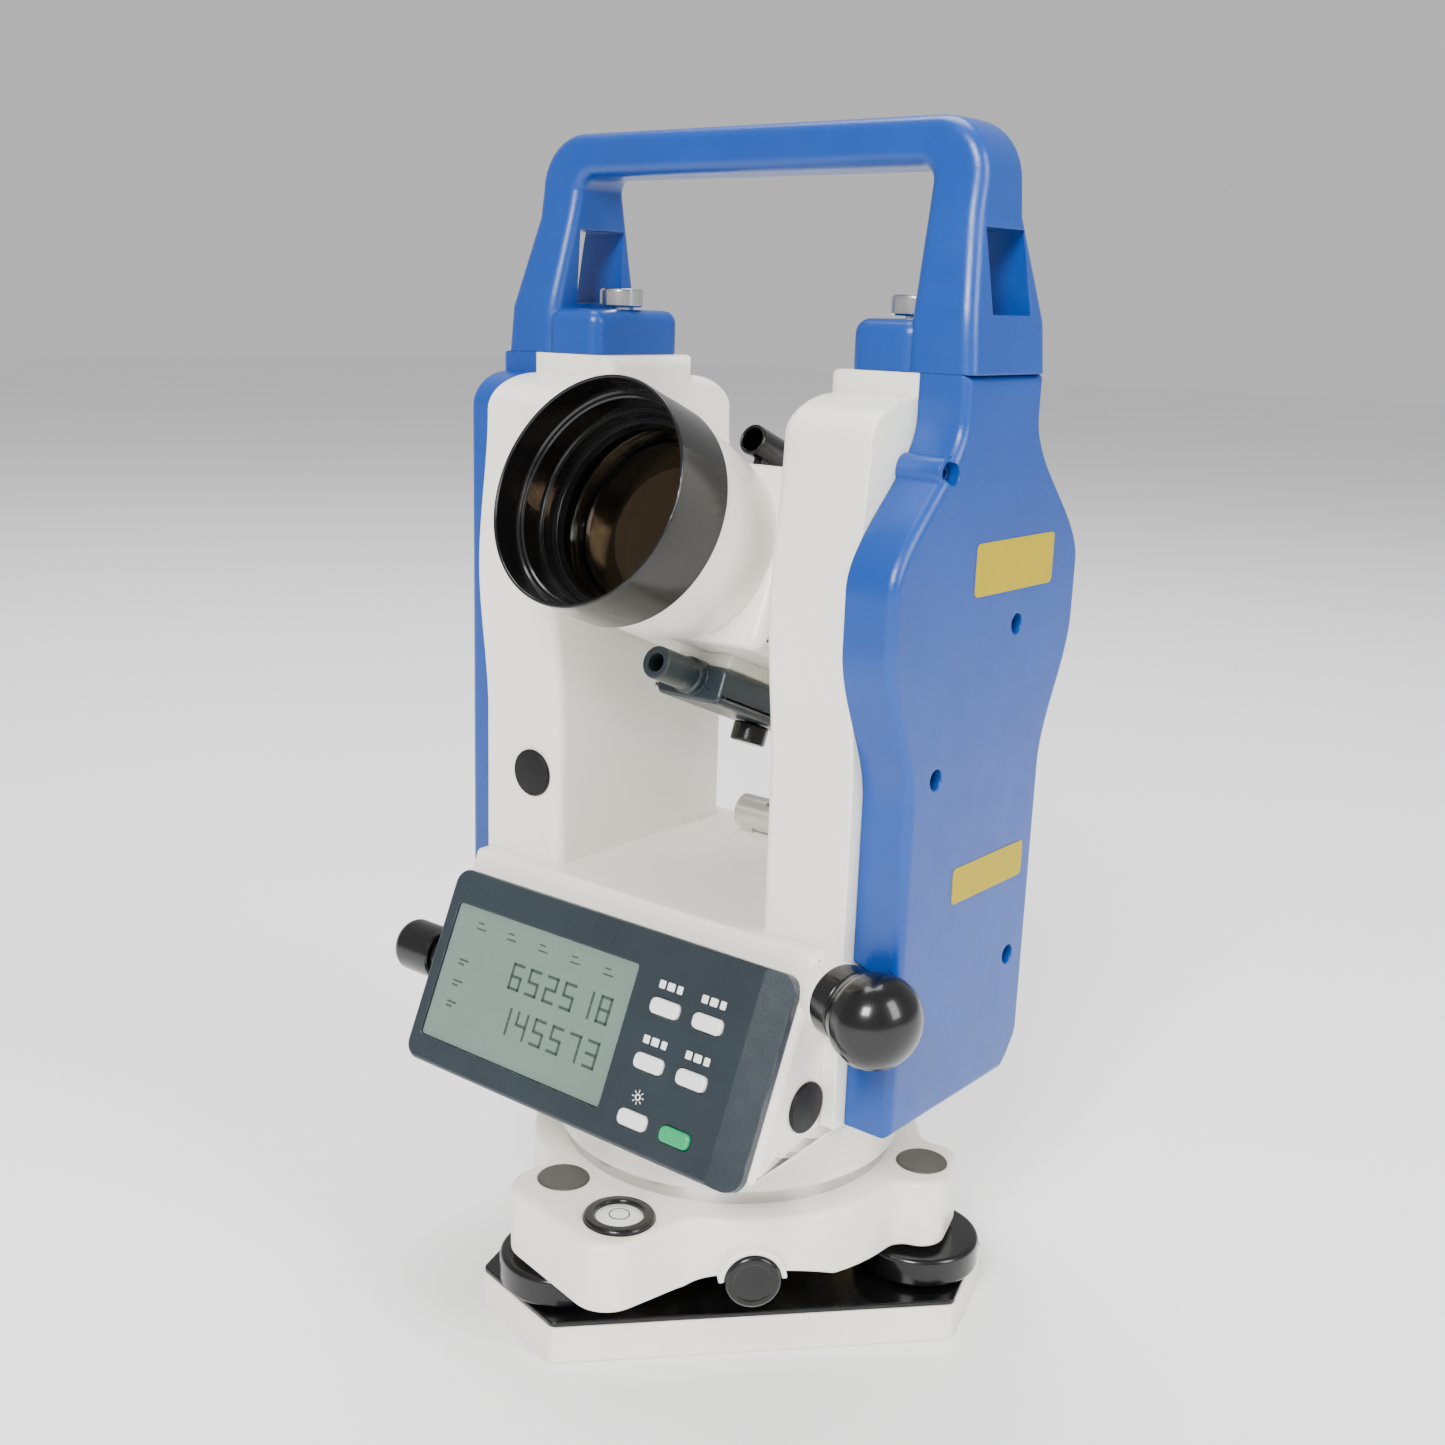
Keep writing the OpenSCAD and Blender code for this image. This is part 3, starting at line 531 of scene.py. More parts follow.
def base_plates():
    """The cast plate with the tripod's thread, and the leaf plate over it."""
    sockets = [rod(axis, 5.2, 3.3, 30) for axis in FOOT_AXES]
    make("base_casting", "base", "cream_paint", [slab(three_sided(52, 74.2, 2.5), 0, 11, 0.8, 1.2)],
         [rod(STILL, 6.75, -5, 20), *sockets], "base_plate")
    make("leaf_plate", "base", "black_plastic", [slab(three_sided(51.7, 73.9, 2.5), 11.02, 12.5, 0.3, 0.5)],
         [rod(STILL, 18, 5, 20), *sockets], "spring_plate")


def foot_knobs():
    """Ball, neck, fluted knob and spindle of each foot screw."""
    profile = [(0, 3.5)] + arc((0, 8.5), 5, -75, 50, 10) + [(3, 12.9)]
    profile += arc((16.0, 14.5), 1.5, -90, 0, 4) + arc((16.0, 20.2), 1.5, 0, 90, 4)
    profile += [(7, 21.7), (4.1, 21.65), (4, 21.8), (4, 38), (0, 38)]
    for name, axis in zip("abc", FOOT_AXES):
        make("foot_knob_" + name, "foot_screw_" + name, "black_plastic",
             [at(axis, lathe(profile, 200, 20, 0.6, (15, 20)))], stands_for="foot_screw_" + name)


# ---------- levelling head ----------

def between(first, second, radius):
    """The round part of the head between two lobes."""
    a = math.degrees(math.atan2(first[1], first[0]))
    b = math.degrees(math.atan2(second[1], second[0]))
    return arc((0, 0), radius, a, a + (b - a) % 360, 14)[1:-1]


def lobe(turn, low_side, high_side, end, corner, low_fillet, high_fillet):
    """A lobe of the head, turned to its foot screw: its two sides, end and rounded corners."""
    start = Vector((math.sqrt((HEAD_RADIUS + low_fillet) ** 2 - (low_side - low_fillet) ** 2),
                    low_side - low_fillet))
    stop = Vector((math.sqrt((HEAD_RADIUS + high_fillet) ** 2 - (high_side + high_fillet) ** 2),
                   high_side + high_fillet))
    points = arc(start, low_fillet, math.degrees(math.atan2(-start.y, -start.x)), 90, 6)
    for side, point, first in ((low_side, start, -90), (high_side, stop, 0)):
        r = min(corner, end - point.x - 0.1)
        points += arc((end - r, side + r if first else side - r), r, first, first + 90, 8)
    points += arc(stop, high_fillet, -90, math.degrees(math.atan2(-stop.y, -stop.x)), 8)
    a = math.radians(turn)
    return [(x * math.cos(a) - y * math.sin(a), x * math.sin(a) + y * math.cos(a)) for x, y in points]


def head_outline():
    """Plan of the levelling head: a round middle, two plain lobes and a wide front lobe."""
    plain = (-13, 13, 67.5, 8, 6, 6)
    shapes = [(-10.5, 37.5, 73.5, 10, 3, 12), plain, plain]
    outline = []
    for turn, shape in zip(FOOT_TURN, shapes):
        points = lobe(turn, *shape)
        if outline:
            outline += between(outline[-1], points[0], HEAD_RADIUS)
        outline += points
    return outline + between(outline[-1], outline[0], HEAD_RADIUS)


def head_casting():
    """The three-lobed head with the lock knob's boss, and hollows between its lobes."""
    cuts = [rod(STILL, 44, 13.5, 38.5), rod(STILL, 32, 13.5, 60)]
    for axis, turn in zip(FOOT_AXES, FOOT_TURN):
        cuts += [rod(axis, 6.5, 20, 50), rod(axis, 7.25, 40.5, 50)]
        a = math.radians(turn + 60)
        hollow = frame_of((0, 0, -26), (math.cos(a), math.sin(a), 0), UP)
        cuts.append(rod(hollow, 54, 30, 90, 0, 160))
    cuts += [rod(LEVEL, 9.7, 33, 60), rod(LOCK, 7.75, 52, 80), rod(LOCK, 3.1, 35, 60)]
    make("head_casting", "head", "cream_paint",
         [slab(head_outline(), 23.5, 43, 0.8, 2.0, 6), rod(LOCK, 9.2, 46, 60, 0.7)], cuts, "levelling_head",
         soften=0.25)


def head_fittings():
    """The caps over the foot screws, the circular level and the lock knob."""
    make("dark_caps", "head", "grey_cap",
         [several(*[rod(axis, 7.1, 40.5, 43.45, 0.5) for axis in FOOT_AXES])], stands_for="foot_screw_caps")
    cup = [(0, 33), (9.4, 33)] + arc((8.5, 43.3), 1.0, 0, 90, 5) + arc((7.2, 43.7), 0.7, 90, 180, 3)
    make("level_cup", "head", "black_plastic", [at(LEVEL, lathe(cup + [(6.5, 36), (0, 36)], 96))],
         stands_for="circular_level_cup")
    rim, rise = (6.4, 43.2), 0.9
    dome = [(0, 36.1), (rim[0], 36.1), rim]
    for i in range(1, 9):
        share = 1 - i / 8
        dome.append((rim[0] * share, rim[1] + rise * (1 - share ** 2)))
    make("level_dome", "head", "clear_glass", [at(LEVEL, lathe(dome, 72))], stands_for="circular_level_vial",
         look=LEVEL_FLUID)
    circle = [(2.5, 43.88), (2.85, 43.84), (2.85, 43.98), (2.5, 44.0)]
    make("level_circle", "head", "black_plastic", [at(LEVEL, lathe(circle, 72))])
    dish = [(0, 52.3), (7.5, 52.3)] + arc((6.4, 59.8), 1.1, 0, 90, 5) + [(5.6, 60.9), (5.0, 60.5), (0, 60.2)]
    make("lock_disc", "lock_knob", "black_plastic", [at(LOCK, lathe(dish, 96)), rod(LOCK, 3, 44.6, 53)],
         stands_for="lock_knob")


# ---------- alidade: casting and covers ----------

def right_half_depth(z):
    """Half depth of the right cover: it widens over its waist, then narrows to the neck."""
    if z < WAIST:
        return 32
    if z < 200:
        return 32 + 12 * blend((z - WAIST) / 39)
    if z < 214:
        return 44
    return 44 - 26 * blend((z - 214) / 38) if z < 252 else NECK_HALF


def half_depth(kind, z):
    """Half depth of the right cover, the left cover or a cast standard at height z."""
    if kind == "right":
        return right_half_depth(z)
    full = 30.5 if kind == "left" else 36.6 + 3.4 * blend(max(0.0, 1 - abs(z - 205) / 42))
    if z < SHOULDER:
        return full
    rest = max(0.0, 1 - ((z - SHOULDER) / SHOULDER_RISE) ** 2)
    return NECK_HALF + (full - NECK_HALF) * math.sqrt(rest)


def upright(kind, low, high, corner=()):
    """Outline of an upright in Y and Z. corner replaces its lower rear corner."""
    start = SHOULDER if kind == "left" else WAIST
    heights = [start + (SHOULDER - start) * i / 40 for i in range(41 if start < SHOULDER else 1)]
    heights += [SHOULDER + SHOULDER_RISE * math.sin(math.radians(i * 7.5)) for i in range(1, 13)]
    heights = [z for z in heights if low < z < high]
    neck = SHOULDER + SHOULDER_RISE
    front = [(-half_depth(kind, min(z, neck)), z) for z in [high, *heights[::-1], low]]
    rear = [(half_depth(kind, min(z, neck)), z) for z in [low, *heights, high]]
    return front + (list(corner) + rear[1:] if corner else rear)


def deck_section(low, high, less=0.0):
    """Section of the box under the deck, whose sides lean as the panels do."""
    def half(z):
        return DECK_HALF + (DECK_TOP - z) * math.tan(math.radians(PANEL_LEAN)) - less

    return [(-half(low), low), (half(low), low), (half(high), high), (-half(high), high)]


def flare(height, share):
    """A ring that turns from the skirt's circle into the box's rectangle."""
    ring = []
    for i in range(160):
        a = 2 * math.pi * i / 160
        x, y = math.cos(a), math.sin(a)
        edge = 1 / max(x / 56 if x > 0 else -x / 62, abs(y) / 62)
        reach = SKIRT_RADIUS + (edge - SKIRT_RADIUS) * share
        ring.append((x * reach, y * reach, height))
    return ring


def frame_casting():
    """Skirt, flare, box and standards in one piece, hollow, with the knobs' and screws' holes."""
    outside = fillet(deck_section(68, DECK_TOP), [2.0, 2.0, 1.4, 1.4], 4)
    body = at(ACROSS, slab(outside, -63.5, 57, 1.5, 2.5, 5))
    bell = sweep([flare(50.5, 0.0), flare(56, 0.25), flare(62, 0.6), flare(69.5, 1.0)])
    skirt = lathe([(0, 47)] + arc((48.8, 48.2), 1.2, -90, 0, 4) + [(SKIRT_RADIUS, 72), (0, 72)], 160)
    standard = upright("cast", COVER_FOOT, HANDLE_FOOT)
    right = at(ACROSS, slab(standard, 35.6, 61.45, 3.2, 0.4, 6))
    left = at(ACROSS, slab(standard, -63.45, -35.6, 0.4, 3.2, 6))
    boss = rod(CLAMP, 9.2, -8, 5.8, 0.8)
    hollow = inset(upright("cast", 79, 258.5), 3.5)
    cuts = [
        at(ACROSS, slab(deck_section(71.5, 119.2, 3.9), -60, 53.5)),
        rod(STILL, 46.5, 40, 71.6),
        at(ACROSS, slab(hollow, 39.1, 58)),
        at(ACROSS, slab(hollow, -60, -39.1)),
        rod(ACROSS @ axis_at(TRUNNION.y, TRUNNION.z), 13.05, -45, 45),
        at(PANEL, block((-57, -50, -20), (43, -8, -2))),
        rod(CLAMP, 2.2, -12, 10),
        rod(REAR_CLAMP, 2.2, -12, 10),
        rod(ACROSS @ axis_at(-47.5, 89.5), 5.1, -70, -50),
    ]
    for side in (-1, 1):
        cuts.append(rod(axis_at(side * HANDLE_SCREW, 0), 2.6, 250, 270))
    make("frame_casting", "alidade", "cream_paint", [body, bell, skirt, right, left, boss], cuts,
         "alidade_frame", soften=0.3, sharp=35)


def right_cover():
    """The right cover with its screws, and the room that the front clamp and knob turn in."""
    corner = [(24.4, COVER_FOOT), (27.6, 78.5), (31.2, 83.4), (32, 86)]
    shell = at(ACROSS, slab(upright("right", COVER_FOOT, HANDLE_FOOT, corner), *RIGHT_COVER, 0.3, 2.6, 6))
    screws = [ACROSS @ axis_at(y, z) for y, z in ((-22, 240), (-21, 167), (13, 201), (22, 110))]
    posts = [rod(screw, 4, 61.6, 73.5) for screw in screws]
    holes = [rod(screw, 2.65, 69.3, 80) for screw in screws]
    room = [rod(CLAMP, 10.0, -2, 12.7), rod(CLAMP, 12.6, 12.5, 34)]
    make("right_shell", "alidade", "blue_plastic", [shell, *posts], [*room, *holes], "right_cover",
         soften=0.25)
    head = [(0, 69.4), (2.5, 69.4), (2.5, 71.6), (2.1, 72.1), (1.1, 72.1), (1.1, 71.3), (0, 71.3)]
    # The screw heads take the painted hole shade instead of the steel look.
    make("sunk_screws", "alidade", "steel", [several(*[at(screw, lathe(head, 32)) for screw in screws])],
         stands_for="cover_screws", look=DARK_SCREWS)


def left_cover():
    """The left cover with the bay and the pocket that the battery and its latch sit in."""
    corner = [(24.4, COVER_FOOT), (27.6, 78.5), (30.5, 83.4)]
    shell = at(ACROSS, slab(upright("left", COVER_FOOT, HANDLE_FOOT, corner), *LEFT_COVER, 2.6, 0.3, 6))
    bay = block((-80, -23.25, 91.75), (-65.9, 23.25, 203.25), 2.2)
    pocket = block((-80, -6.2, 203), (-70, 6.2, 214.6), 1)
    make("left_shell", "alidade", "blue_plastic", [shell], [bay, pocket], "left_cover", soften=0.25)


def battery():
    """The battery with finger grooves, and its ridged latch."""
    grooves = [block((-79, -14, z), (-76.4, 14, z + 1.4), 0.3) for z in range(108, 125, 4)]
    case = shifted(rect(46, 111, 3, 5), 0, 147.5)
    make("battery_case", "battery", "blue_plastic", [at(ACROSS, slab(case, -77, -66, 1.4, 0.3, 5))], grooves,
         "battery_pack", soften=0.3)
    ridges = [block((-80, -7, z), (-77.45, 7, z + 0.7), 0.1) for z in (208.8, 210.4, 212.0)]
    pad = shifted(rect(12, 7.2, 1.2), 0, 210.8)
    make("latch_pad", "battery_latch", "black_plastic", [at(ACROSS, slab(pad, -77.8, -70.2, 0.6, 0.2))],
         ridges, "battery_latch")


def labels():
    """The two blank labels on the right cover."""
    for name, low, high in (("upper", (-9, 209.8), (29, 222.8)), ("lower", (-9.6, 132), (25.4, 141.5))):
        middle = ((low[0] + high[0]) / 2, (low[1] + high[1]) / 2)
        outline = shifted(rect(high[0] - low[0], high[1] - low[1], 1.4), *middle)
        make("label_" + name, "alidade", "label_yellow", [at(ACROSS, slab(outline, 75.0, 75.25, 0, 0.12, 2))],
             stands_for="side_labels" if name == "upper" else ())


# ---------- alidade: handle ----------

def handle_stations():
    """Outer point, inner point and half depth, from the right foot over the bar's middle."""
    yield Vector((75.6, 262.0)), Vector((56.9, 262.0)), 17.9
    yield Vector((75.1, 268.0)), Vector((56.9, 268.0)), 17.75
    for i in range(7):
        t = i / 6
        outer = Vector((74.6, 274.0)).lerp(Vector((70.5, 298.0)), t)
        inner = Vector((57.0, 274.5)).lerp(Vector((55.7, 300.0)), t)
        yield outer, inner, 17.6 + (11.1 - 17.6) * t
    for i in range(10):
        a = math.radians(i * 10)
        outer = Vector((56.5 + 14 * math.cos(a), 305.5 + 14.5 * math.sin(a)))
        inner = Vector((52 + 3.5 * math.cos(a), 304.9 + 3.6 * math.sin(a)))
        yield outer, inner, 10 - 0.7 * i / 9
    for x in (44, 30, 15, 0):
        yield Vector((x, 320.0)), Vector((x, 308.5)), 9.3


def handle_section(outer, inner, half):
    """The handle's rounded section between two points of its side view."""
    middle = (outer + inner) / 2
    ahead = outer - inner
    ring = rect(ahead.length, half * 2, min(3.6, ahead.length * 0.3), 5)
    way = ahead.normalized()
    return [(middle.x + way.x * u, v, middle.y + way.y * u) for u, v in ring]


def handle_bow():
    """The bow, the same on both sides, with its two feet."""
    right = [handle_section(*station) for station in handle_stations()]
    left = [[(-x, y, z) for x, y, z in ring] for ring in right[-2::-1]]
    bow = sweep(right + left)
    foot = slab(rect(19, 35.6, 4.0, 6), HANDLE_FOOT, 274, 0.3, 3.6, 6)
    feet = [at(Matrix.Diagonal((side, 1, 1, 1)) @ Matrix.Translation((50.5, 0, 0)), foot) for side in (1, -1)]
    cuts = [block((x, -8.5, 275.5), (x + 40, 9.5, 295)) for x in (50, -90)]
    cuts += [rod(axis_at(side * HANDLE_SCREW, 0), 2.6, 255, 285) for side in (-1, 1)]
    make("handle_bow", "alidade", "blue_plastic", [bow, *feet], cuts, "handle", soften=0.9, sharp=40)


def thumb_screws():
    """The knurled screws that hold the handle."""
    profile = [(0, 252), (2.4, 252), (2.4, 274.6), (5.4, 274.7), (6, 275.2), (6, 279.0)]
    profile += arc((5.2, 279.0), 0.7, 0, 90, 3) + [(4.3, 279.7), (4.1, 279.2), (0, 279.2)]
    for side, name in ((-1, "left"), (1, "right")):
        make("thumb_screw_" + name, "handle_screw_" + name, "steel",
             [at(axis_at(side * HANDLE_SCREW, 0), lathe(profile, 240, 24, 0.35, (275.3, 278.95)))],
             stands_for="handle_screw_" + name)


# ---------- display ----------

SEGMENTS = {"0": "abcdef", "1": "bc", "2": "abged", "3": "abgcd", "4": "fgbc", "5": "afgcd", "6": "afgedc",
            "7": "abc", "8": "abcdefg", "9": "abcdfg"}
KEY_SPOTS = [(x, -y) for x in (21, 35) for y in (18, 32.5, 47.2)]
KEY_NODES = ["key_1", "key_3", "key_5", "key_2", "key_4", "power_key"]
# Lower and upper face of the display's signs, and thickness of the keys' legends.
SIGN_LOW = -0.58
SIGN_TOP = -0.53
PRINT = 0.04


def digit(sign, x, y, width=4.4, height=7.6, thick=0.95, z=SIGN_LOW):
    """One seven-segment digit whose lower left corner is at x, y."""
    half = height / 2
    bars = {"a": (0, height - thick, width, height), "g": (0, half - thick / 2, width, half + thick / 2),
            "d": (0, 0, width, thick), "f": (0, half, thick, height), "e": (0, 0, thick, half),
            "b": (width - thick, half, width, height), "c": (width - thick, 0, width, half)}
    return [block((x + b[0] + 0.08, y + b[1] + 0.08, z), (x + b[2] - 0.08, y + b[3] - 0.08, z + 0.05))
            for b in (bars[s] for s in SEGMENTS[sign])]


def sign_bar(x, y, width, height):
    """A small printed block on the display, whose lower left corner is at x, y."""
    return block((x, y, SIGN_LOW), (x + width, y + height, SIGN_TOP))


def panel_plate(corner_steps, rim_steps):
    """The rounded plate of a panel, in the panel's own frame."""
    outline = rect(PANEL_WIDTH, PANEL_LENGTH, 4.5, corner_steps)
    return at(axis_at(*PANEL_MIDDLE), slab(outline, -5, 0, 0.4, 1.1, rim_steps))


def right_slope():
    """What is cut from a panel's face so that its right border slopes back, in the panel's own frame."""
    upended = Matrix(((1, 0, 0, 0), (0, 0, 1, 0), (0, 1, 0, 0), (0, 0, 0, 1)))
    return at(upended, slab([(47, 0), (62, -4.14), (62, 6), (47, 6)], -70, 10))


def front_panel():
    """The front panel with its window and the keys' holes."""
    window = at(PANEL, block((-58.9, -48, -2.2), (9.2, -9.4, 8), 1.2))
    behind = at(PANEL, block((-56.9, -46, -12), (7.2, -11.4, 8), 1.0))
    hole = slab(rect(9.8, 4.6, 1.7, 5), -12, 8)
    holes = [at(PANEL @ axis_at(*spot), hole) for spot in KEY_SPOTS]
    make("panel_face", "alidade", "slate_plastic", [at(PANEL, panel_plate(10, 8))],
         [at(PANEL, right_slope()), window, behind, *holes], "display_bezel", soften=0.3, soften_above=14,
         sharp=30)


def display():
    """The display's glass, with two rows of digits and small signs on it."""
    make("display_window", "alidade", "display_glass",
         [at(PANEL, block((-58.8, -47.9, -2.1), (9.1, -9.5, -0.6), 1.1, 0.15))], stands_for="display_glass")
    signs = []
    for text, y in (("652518", -27.8), ("145573", -39.8)):
        for place, sign in enumerate(text):
            signs += digit(sign, -33 + place * 6.5, y)
    for y in (-25, -31, -37):
        signs += [sign_bar(-53, y, 3.5, 0.5), sign_bar(-53, y - 1.2, 2.2, 0.5)]
    for x in (-50, -38, -26, -14, -2):
        signs += [sign_bar(x, -15.2, 3.4, 0.4), sign_bar(x, -13.6, 2.2, 0.4)]
    make("display_signs", "alidade", "display_glass", [at(PANEL, several(*signs))], look=LCD_SIGNS)


def keys():
    """Five white keys and the green power key, with plain blocks and a small lamp sign as legends."""
    cap = slab(rect(9.4, 4.2, 1.6, 6), -4.4, 1.0, 0.2, 0.8, 6)
    for spot, node in zip(KEY_SPOTS, KEY_NODES):
        slot = "key_green" if node == "power_key" else "key_white"
        make(node + "_cap", node, slot, [at(PANEL @ axis_at(*spot), cap)], stands_for=node)
    legends = []
    for x, y in KEY_SPOTS[:2] + KEY_SPOTS[3:5]:
        for shift, width in ((-2.9, 2.0), (0.0, 2.4), (2.9, 1.8)):
            legends.append(at(axis_at(x + shift, y + 5.6), slab(rect(width, 2.1, 0.3), 0.0, PRINT)))
    lamp = axis_at(20.6, -41.4)
    legends.append(at(lamp, lathe([(0.5, 0), (0.9, 0), (0.9, PRINT), (0.5, PRINT)], 24)))
    for i in range(8):
        ray = lamp @ Matrix.Rotation(math.radians(45 * i), 4, "Z")
        legends.append(at(ray, block((1.2, -0.14, 0.0), (1.9, 0.14, PRINT))))
    make("key_legends", "alidade", "key_white", [at(PANEL, several(*legends))])


def rear_panel():
    """The blank panel at the back, with four dimples."""
    dimples = [rod(REAR @ axis_at(x, -y), 2.4, -1.2, 6) for x in (-55, 45) for y in (8, 47)]
    make("rear_cover", "alidade", "slate_plastic", [at(REAR, panel_plate(8, 6))],
         [*dimples, at(REAR, right_slope())], "rear_panel", soften=0.3, soften_above=14, sharp=30)


# ---------- knobs, plummet and plugs of the alidade ----------

def clamps():
    """Both pairs of a clamp's collar and the slow-motion knob on its axis."""
    collar = [(2.15, 6)] + arc((8.7, 6.7), 0.7, -90, 0, 4) + arc((8.7, 11.9), 0.7, 0, 90, 4) + [(2.15, 12.6)]
    grip = [(0, -2), (2.1, -2), (2.1, 12.9), (9.1, 12.9), (9.6, 13.4)]
    grip += [(9.6 + 2.1 * blend(i / 8), 13.4 + 5.1 * i / 8) for i in range(1, 9)]
    for turn in range(0, 90, 6):
        a = math.radians(turn)
        grip.append((12 * math.cos(a), 21 + 10 * math.sin(a)))
    pairs = ((CLAMP, "horizontal_clamp", "horizontal_clamp", "horizontal_tangent"),
             (REAR_CLAMP, "vertical_clamp", "vertical_clamp_collar", "vertical_tangent"))
    for place, clamp, clamp_node, tangent in pairs:
        make(clamp + "_ring", clamp, "black_plastic", [at(place, lathe(collar, 96))], stands_for=clamp_node)
        make(tangent + "_grip", tangent, "black_plastic", [at(place, lathe(grip + [(0, 31)], 96))],
             stands_for=tangent)


def plummet_barrel():
    """The plummet's turning eyepiece, on the left."""
    barrel = Matrix.Translation((-70.3, -47.5, 89.5)) @ Matrix.Rotation(math.radians(-90), 4, "Y")
    eye = [(0, 0), (7.2, 0), (7.7, 0.5)] + arc((4.7, 12), 3.0, 0, 90, 8) + [(4.3, 14.6), (0, 14.2)]
    make("plummet_barrel", "plummet_ring", "black_plastic", [at(barrel, lathe(eye, 96))],
         stands_for="plummet_ring")


def plugs():
    """The rubber plugs on the left standard's front and on the right end of the box."""
    plug = lathe([(0, 0)] + arc((6.0, 0.5), 0.7, -45, 60, 4) + [(4.5, 1.3), (2.2, 1.39), (0, 1.4)], 64)
    front = Matrix.Translation((-45.2, -36.62, 148)) @ Matrix.Rotation(math.radians(90), 4, "X")
    side = frame_of((57.0, -43.4, 83), (1, 0, 0), UP)
    make("plug_discs", "alidade", "black_rubber", [several(at(front, plug), at(side, plug))],
         stands_for="side_plugs")


# ---------- telescope ----------

def inside_tube(point):
    """True for the faces of the telescope's bore, which are blackened."""
    local = INTO_TELESCOPE @ point
    bore = 12.2 if local.z < -20.2 else 20.8 if local.z < 37.9 else 24.2
    return math.hypot(local.x, local.y) < bore and -51.8 < local.z < 51.8


def on_telescope(*shapes):
    """Shapes drawn along the telescope's own axis, put in their place."""
    return [at(TELESCOPE, shape) for shape in shapes]


def telescope_body():
    """Tube, middle block, bosses on the trunnions and the pad over the pointer."""
    tube = [(0, -52), (14.6, -52), (15.2, -51.4), (17, -36), (22, -30), (23.6, -27), (24.5, -23), (24.5, 21)]
    tube += [(24.5 + 2.5 * blend(i / 8), 21 + 19 * i / 8) for i in range(1, 9)]
    tube += [(27, 51.4), (26.6, 52), (0, 52)]
    middle = fillet([(-24, -27), (24, -27), (24, 25), (-24, 25)], 3.0, 5)
    bosses = rod(ACROSS, 15, -34.6, 34.6, 0.8)
    pad = block((-9, -28, -20), (9, -20, 9), 1.0, 0.8)
    solids = on_telescope(lathe(tube, 128), at(ACROSS, slab(middle, -28, 28, 4, 4, 6)), bosses, pad)
    cuts = on_telescope(rod(STILL, 12, -60, -10), rod(STILL, 20.5, -20, 40), rod(STILL, 24, 38, 60),
                        rod(ACROSS, 9.05, 22, 40), rod(ACROSS, 9.05, -40, -22))
    make("telescope_body", "telescope", "cream_paint", solids, cuts, "telescope_tube", soften=0.25, sharp=35,
         paint=("black_anodised", inside_tube))


def objective():
    """The hood, the lens in its cell and the black stop behind it."""
    hood = [(24.9, 52), (28.3, 52)] + arc((28.3, 52.7), 0.7, -60, 0, 3) + arc((28.55, 70.45), 0.45, 0, 150, 6)
    hood += [(28.0, 70.2), (27.7, 63.5), (27.3, 63), (26.5, 63), (26.1, 62.6)]
    hood += [(26, 57), (25.7, 56.5), (24.9, 56.5)]
    make("hood", "telescope", "black_plastic", on_telescope(lathe(hood, 160)), stands_for="objective_hood",
         sharp=25)
    cell = [(22.4, 51.3), (24.85, 51.3), (24.85, 53.2), (23.2, 53.2)]
    make("lens_cell", "telescope", "black_anodised", on_telescope(lathe(cell, 128)))
    lining = [(8.5, 24.5), (20.4, 24.5), (20.4, 39.7), (19.4, 39.7), (18.4, 26.0), (8.5, 25.3)]
    make("tube_lining", "telescope", "black_rubber", on_telescope(lathe(lining, 96)))
    rim, rise = (23.9, 47), 4
    glass = [(0, 40), (23.6, 40), (rim[0], 40.3), (rim[0], 46.8)]
    for i in range(1, 17):
        share = 1 - i / 16
        glass.append((rim[0] * share, rim[1] + rise * (1 - share ** 2)))
    make("front_lens", "telescope", "coated_glass", on_telescope(lathe(glass, 128)),
         stands_for="objective_lens")


def ring_sight():
    """The ring over the telescope that it is first aimed with, on two legs."""
    ring = arc((3.7, -9.5), 0.5, 180, 360, 4) + arc((3.7, 13.5), 0.5, 0, 180, 4) + [(2.9, 12), (2.9, -8)]
    legs = [block((-1.5, 24.3, z), (1.5, 29.8, z + 4), 0.4) for z in (-6, 5)]
    make("sight", "telescope", "black_plastic", on_telescope(at(axis_at(0, 33), lathe(ring, 64)), *legs),
         stands_for="ring_sight")


def pointer():
    """The dark unit under the telescope: case with a lip, nose and knob."""
    unit = block((-11, -38, -34), (11, -28, 12), 2.2, 1.2)
    lip = block((-12, -36.5, -35), (12, -35, 11), 1.0, 0.3)
    nose = [(0, 5), (5.0, 5), (5.0, 14), (4.4, 14.5)] + arc((3.9, 27.4), 0.5, 0, 90, 3)
    nose += [(2.6, 27.9), (2.4, 27.5), (2.4, 18), (0, 18)]
    hole = rod(Matrix.Translation((0, -41, -20)) @ Matrix.Rotation(math.radians(-90), 4, "X"), 2.1, 0, 8)
    make("pointer_case", "telescope", "slate_plastic",
         on_telescope(unit, lip, at(axis_at(0, -32), lathe(nose, 64))), on_telescope(hole), "pointer_unit",
         soften=0.2)
    under = TELESCOPE @ Matrix.Translation((0, -38.3, -20)) @ Matrix.Rotation(math.radians(90), 4, "X")
    knob = [(0, -4), (2, -4), (2, 0)] + arc((4.4, 0.6), 0.6, -90, 0, 3) + arc((4.2, 4.7), 0.8, 0, 90, 4)
    make("pointer_cap", "pointer_knob", "black_plastic",
         [at(under, lathe(knob + [(0, 5.3)], 144, 18, 0.3, (0.8, 4.6)))], stands_for="pointer_knob")


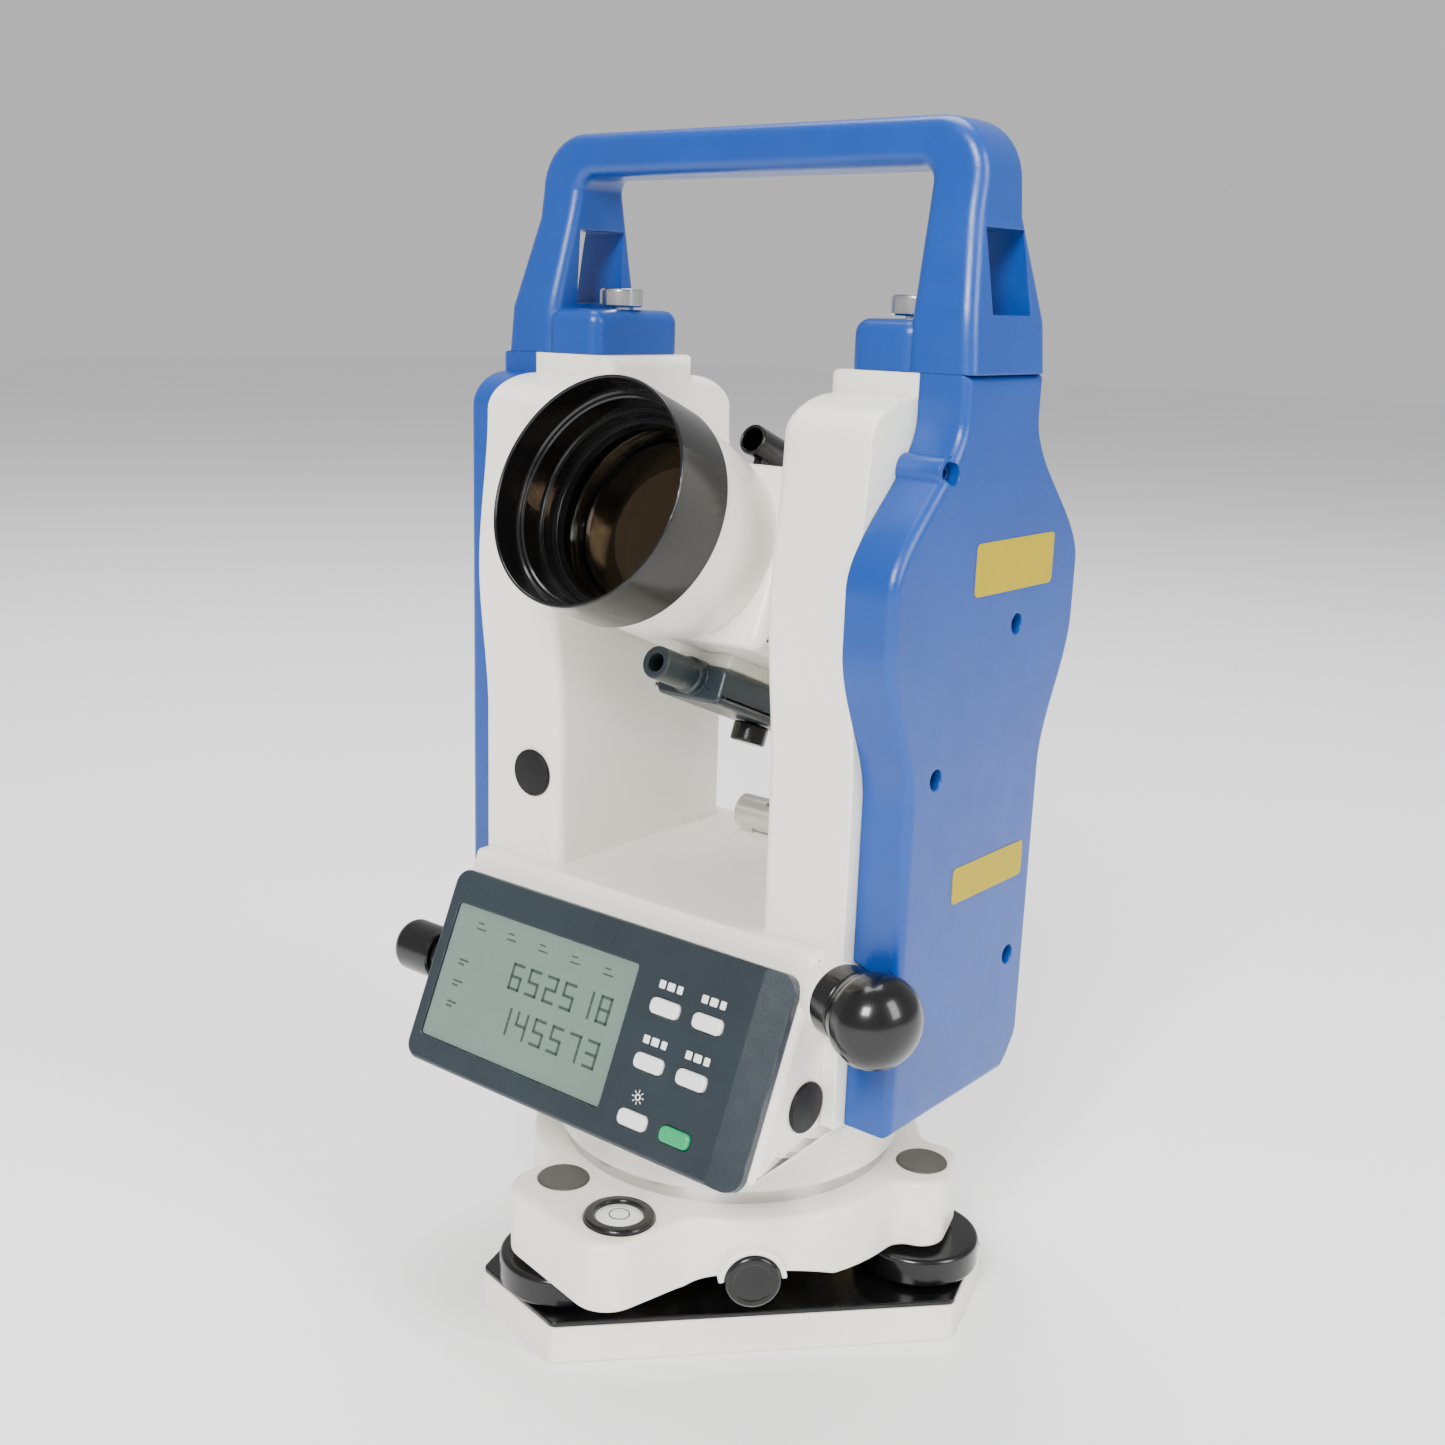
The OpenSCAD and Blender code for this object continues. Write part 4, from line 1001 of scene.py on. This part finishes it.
def eyepiece():
    """The fluted rings that focus the telescope and its eyepiece."""
    focus = [(15.3, -50), (19.2, -50), (20, -49.2), (20, -37.8), (19.2, -37), (17.2, -37), (17.2, -37.6)]
    make("focus_grip", "focus_ring", "black_rubber", on_telescope(lathe(focus, 288, 36, 0.6, (-49.1, -37.9))),
         stands_for="focus_ring")
    eye = [(8, -74), (10.6, -74), (11, -73.6), (11, -71.2), (12.9, -71), (13.5, -70.4), (13.5, -53)]
    eye += [(12.9, -52.4), (11.95, -52.4), (11.95, -47.2), (8, -47.2)]
    make("eyepiece_grip", "eyepiece", "black_rubber", on_telescope(lathe(eye, 240, 30, 0.45, (-70.3, -53.1))),
         stands_for="eyepiece_ring")


base_plates()
foot_knobs()
head_casting()
head_fittings()
frame_casting()
right_cover()
left_cover()
battery()
labels()
handle_bow()
thumb_screws()
front_panel()
display()
keys()
rear_panel()
clamps()
plummet_barrel()
plugs()
telescope_body()
objective()
ring_sight()
pointer()
eyepiece()


# ---------- floor, light and camera ----------

def floor():
    """A wide, pale floor."""
    reach = 6000
    n = Nodes("pale floor")
    tone = n.mix(n.stretch(n.noise(4, 3), 0.35, 0.7), (0.93, 0.93, 0.93), (0.91, 0.91, 0.912))
    n.link(tone, n.shader.inputs["Base Color"])
    n.set(Roughness=0.8)
    mesh = bpy.data.meshes.new("floor")
    corners = [(-reach, -reach), (reach, -reach), (reach, reach), (-reach, reach)]
    mesh.from_pydata([(x * MM, y * MM, 0.0) for x, y in corners], [], [(0, 1, 2, 3)])
    mesh.materials.append(n.material)
    piece = bpy.data.objects.new("floor", mesh)
    bpy.context.scene.collection.objects.link(piece)


def softbox(name, place, width, height, watts):
    """A soft area light that faces the middle of the instrument."""
    lamp = bpy.data.lights.new(name, "AREA")
    lamp.shape = "RECTANGLE"
    lamp.size = width
    lamp.size_y = height
    lamp.energy = watts
    holder = bpy.data.objects.new(name, lamp)
    holder.location = place
    aim = Vector((0.0, 0.0, 0.17)) - Vector(place)
    holder.rotation_euler = aim.to_track_quat("-Z", "Y").to_euler()
    bpy.context.scene.collection.objects.link(holder)


def studio():
    """White surroundings and three softboxes; places in metres, power in watts."""
    world = bpy.data.worlds.new("studio")
    world.use_nodes = True
    background = world.node_tree.nodes["Background"]
    background.inputs["Color"].default_value = (1.0, 1.0, 1.0, 1.0)
    background.inputs["Strength"].default_value = 0.6
    bpy.context.scene.world = world
    softbox("key_light", (0.55, -1.35, 1.15), 0.5, 0.5, 44)
    softbox("side_light", (1.5, 0.1, 0.9), 0.5, 1.0, 20)
    softbox("top_light", (-0.3, 0.3, 1.7), 1.0, 1.0, 30)


def camera():
    """The photograph's own viewing angle: seen from the front right, a little from above."""
    place = Vector((0.2770, -0.3624, 0.2763))
    ahead = Vector((-0.6163, 0.7449, -0.2554))
    right = Vector((0.7657, 0.6426, 0.0270))
    ahead.normalize()
    right = (right - ahead * right.dot(ahead)).normalized()
    up = right.cross(ahead)
    lens = bpy.data.cameras.new("camera")
    lens.sensor_width = 36.0
    lens.lens = 42.14
    lens.shift_x = 0.0303
    lens.shift_y = 0.0188
    lens.clip_start = 0.02
    lens.clip_end = 30.0
    holder = bpy.data.objects.new("camera", lens)
    turn = Matrix((right, up, -ahead)).transposed().to_4x4()
    holder.matrix_world = Matrix.Translation(place) @ turn
    bpy.context.scene.collection.objects.link(holder)
    bpy.context.scene.camera = holder


floor()
studio()
camera()
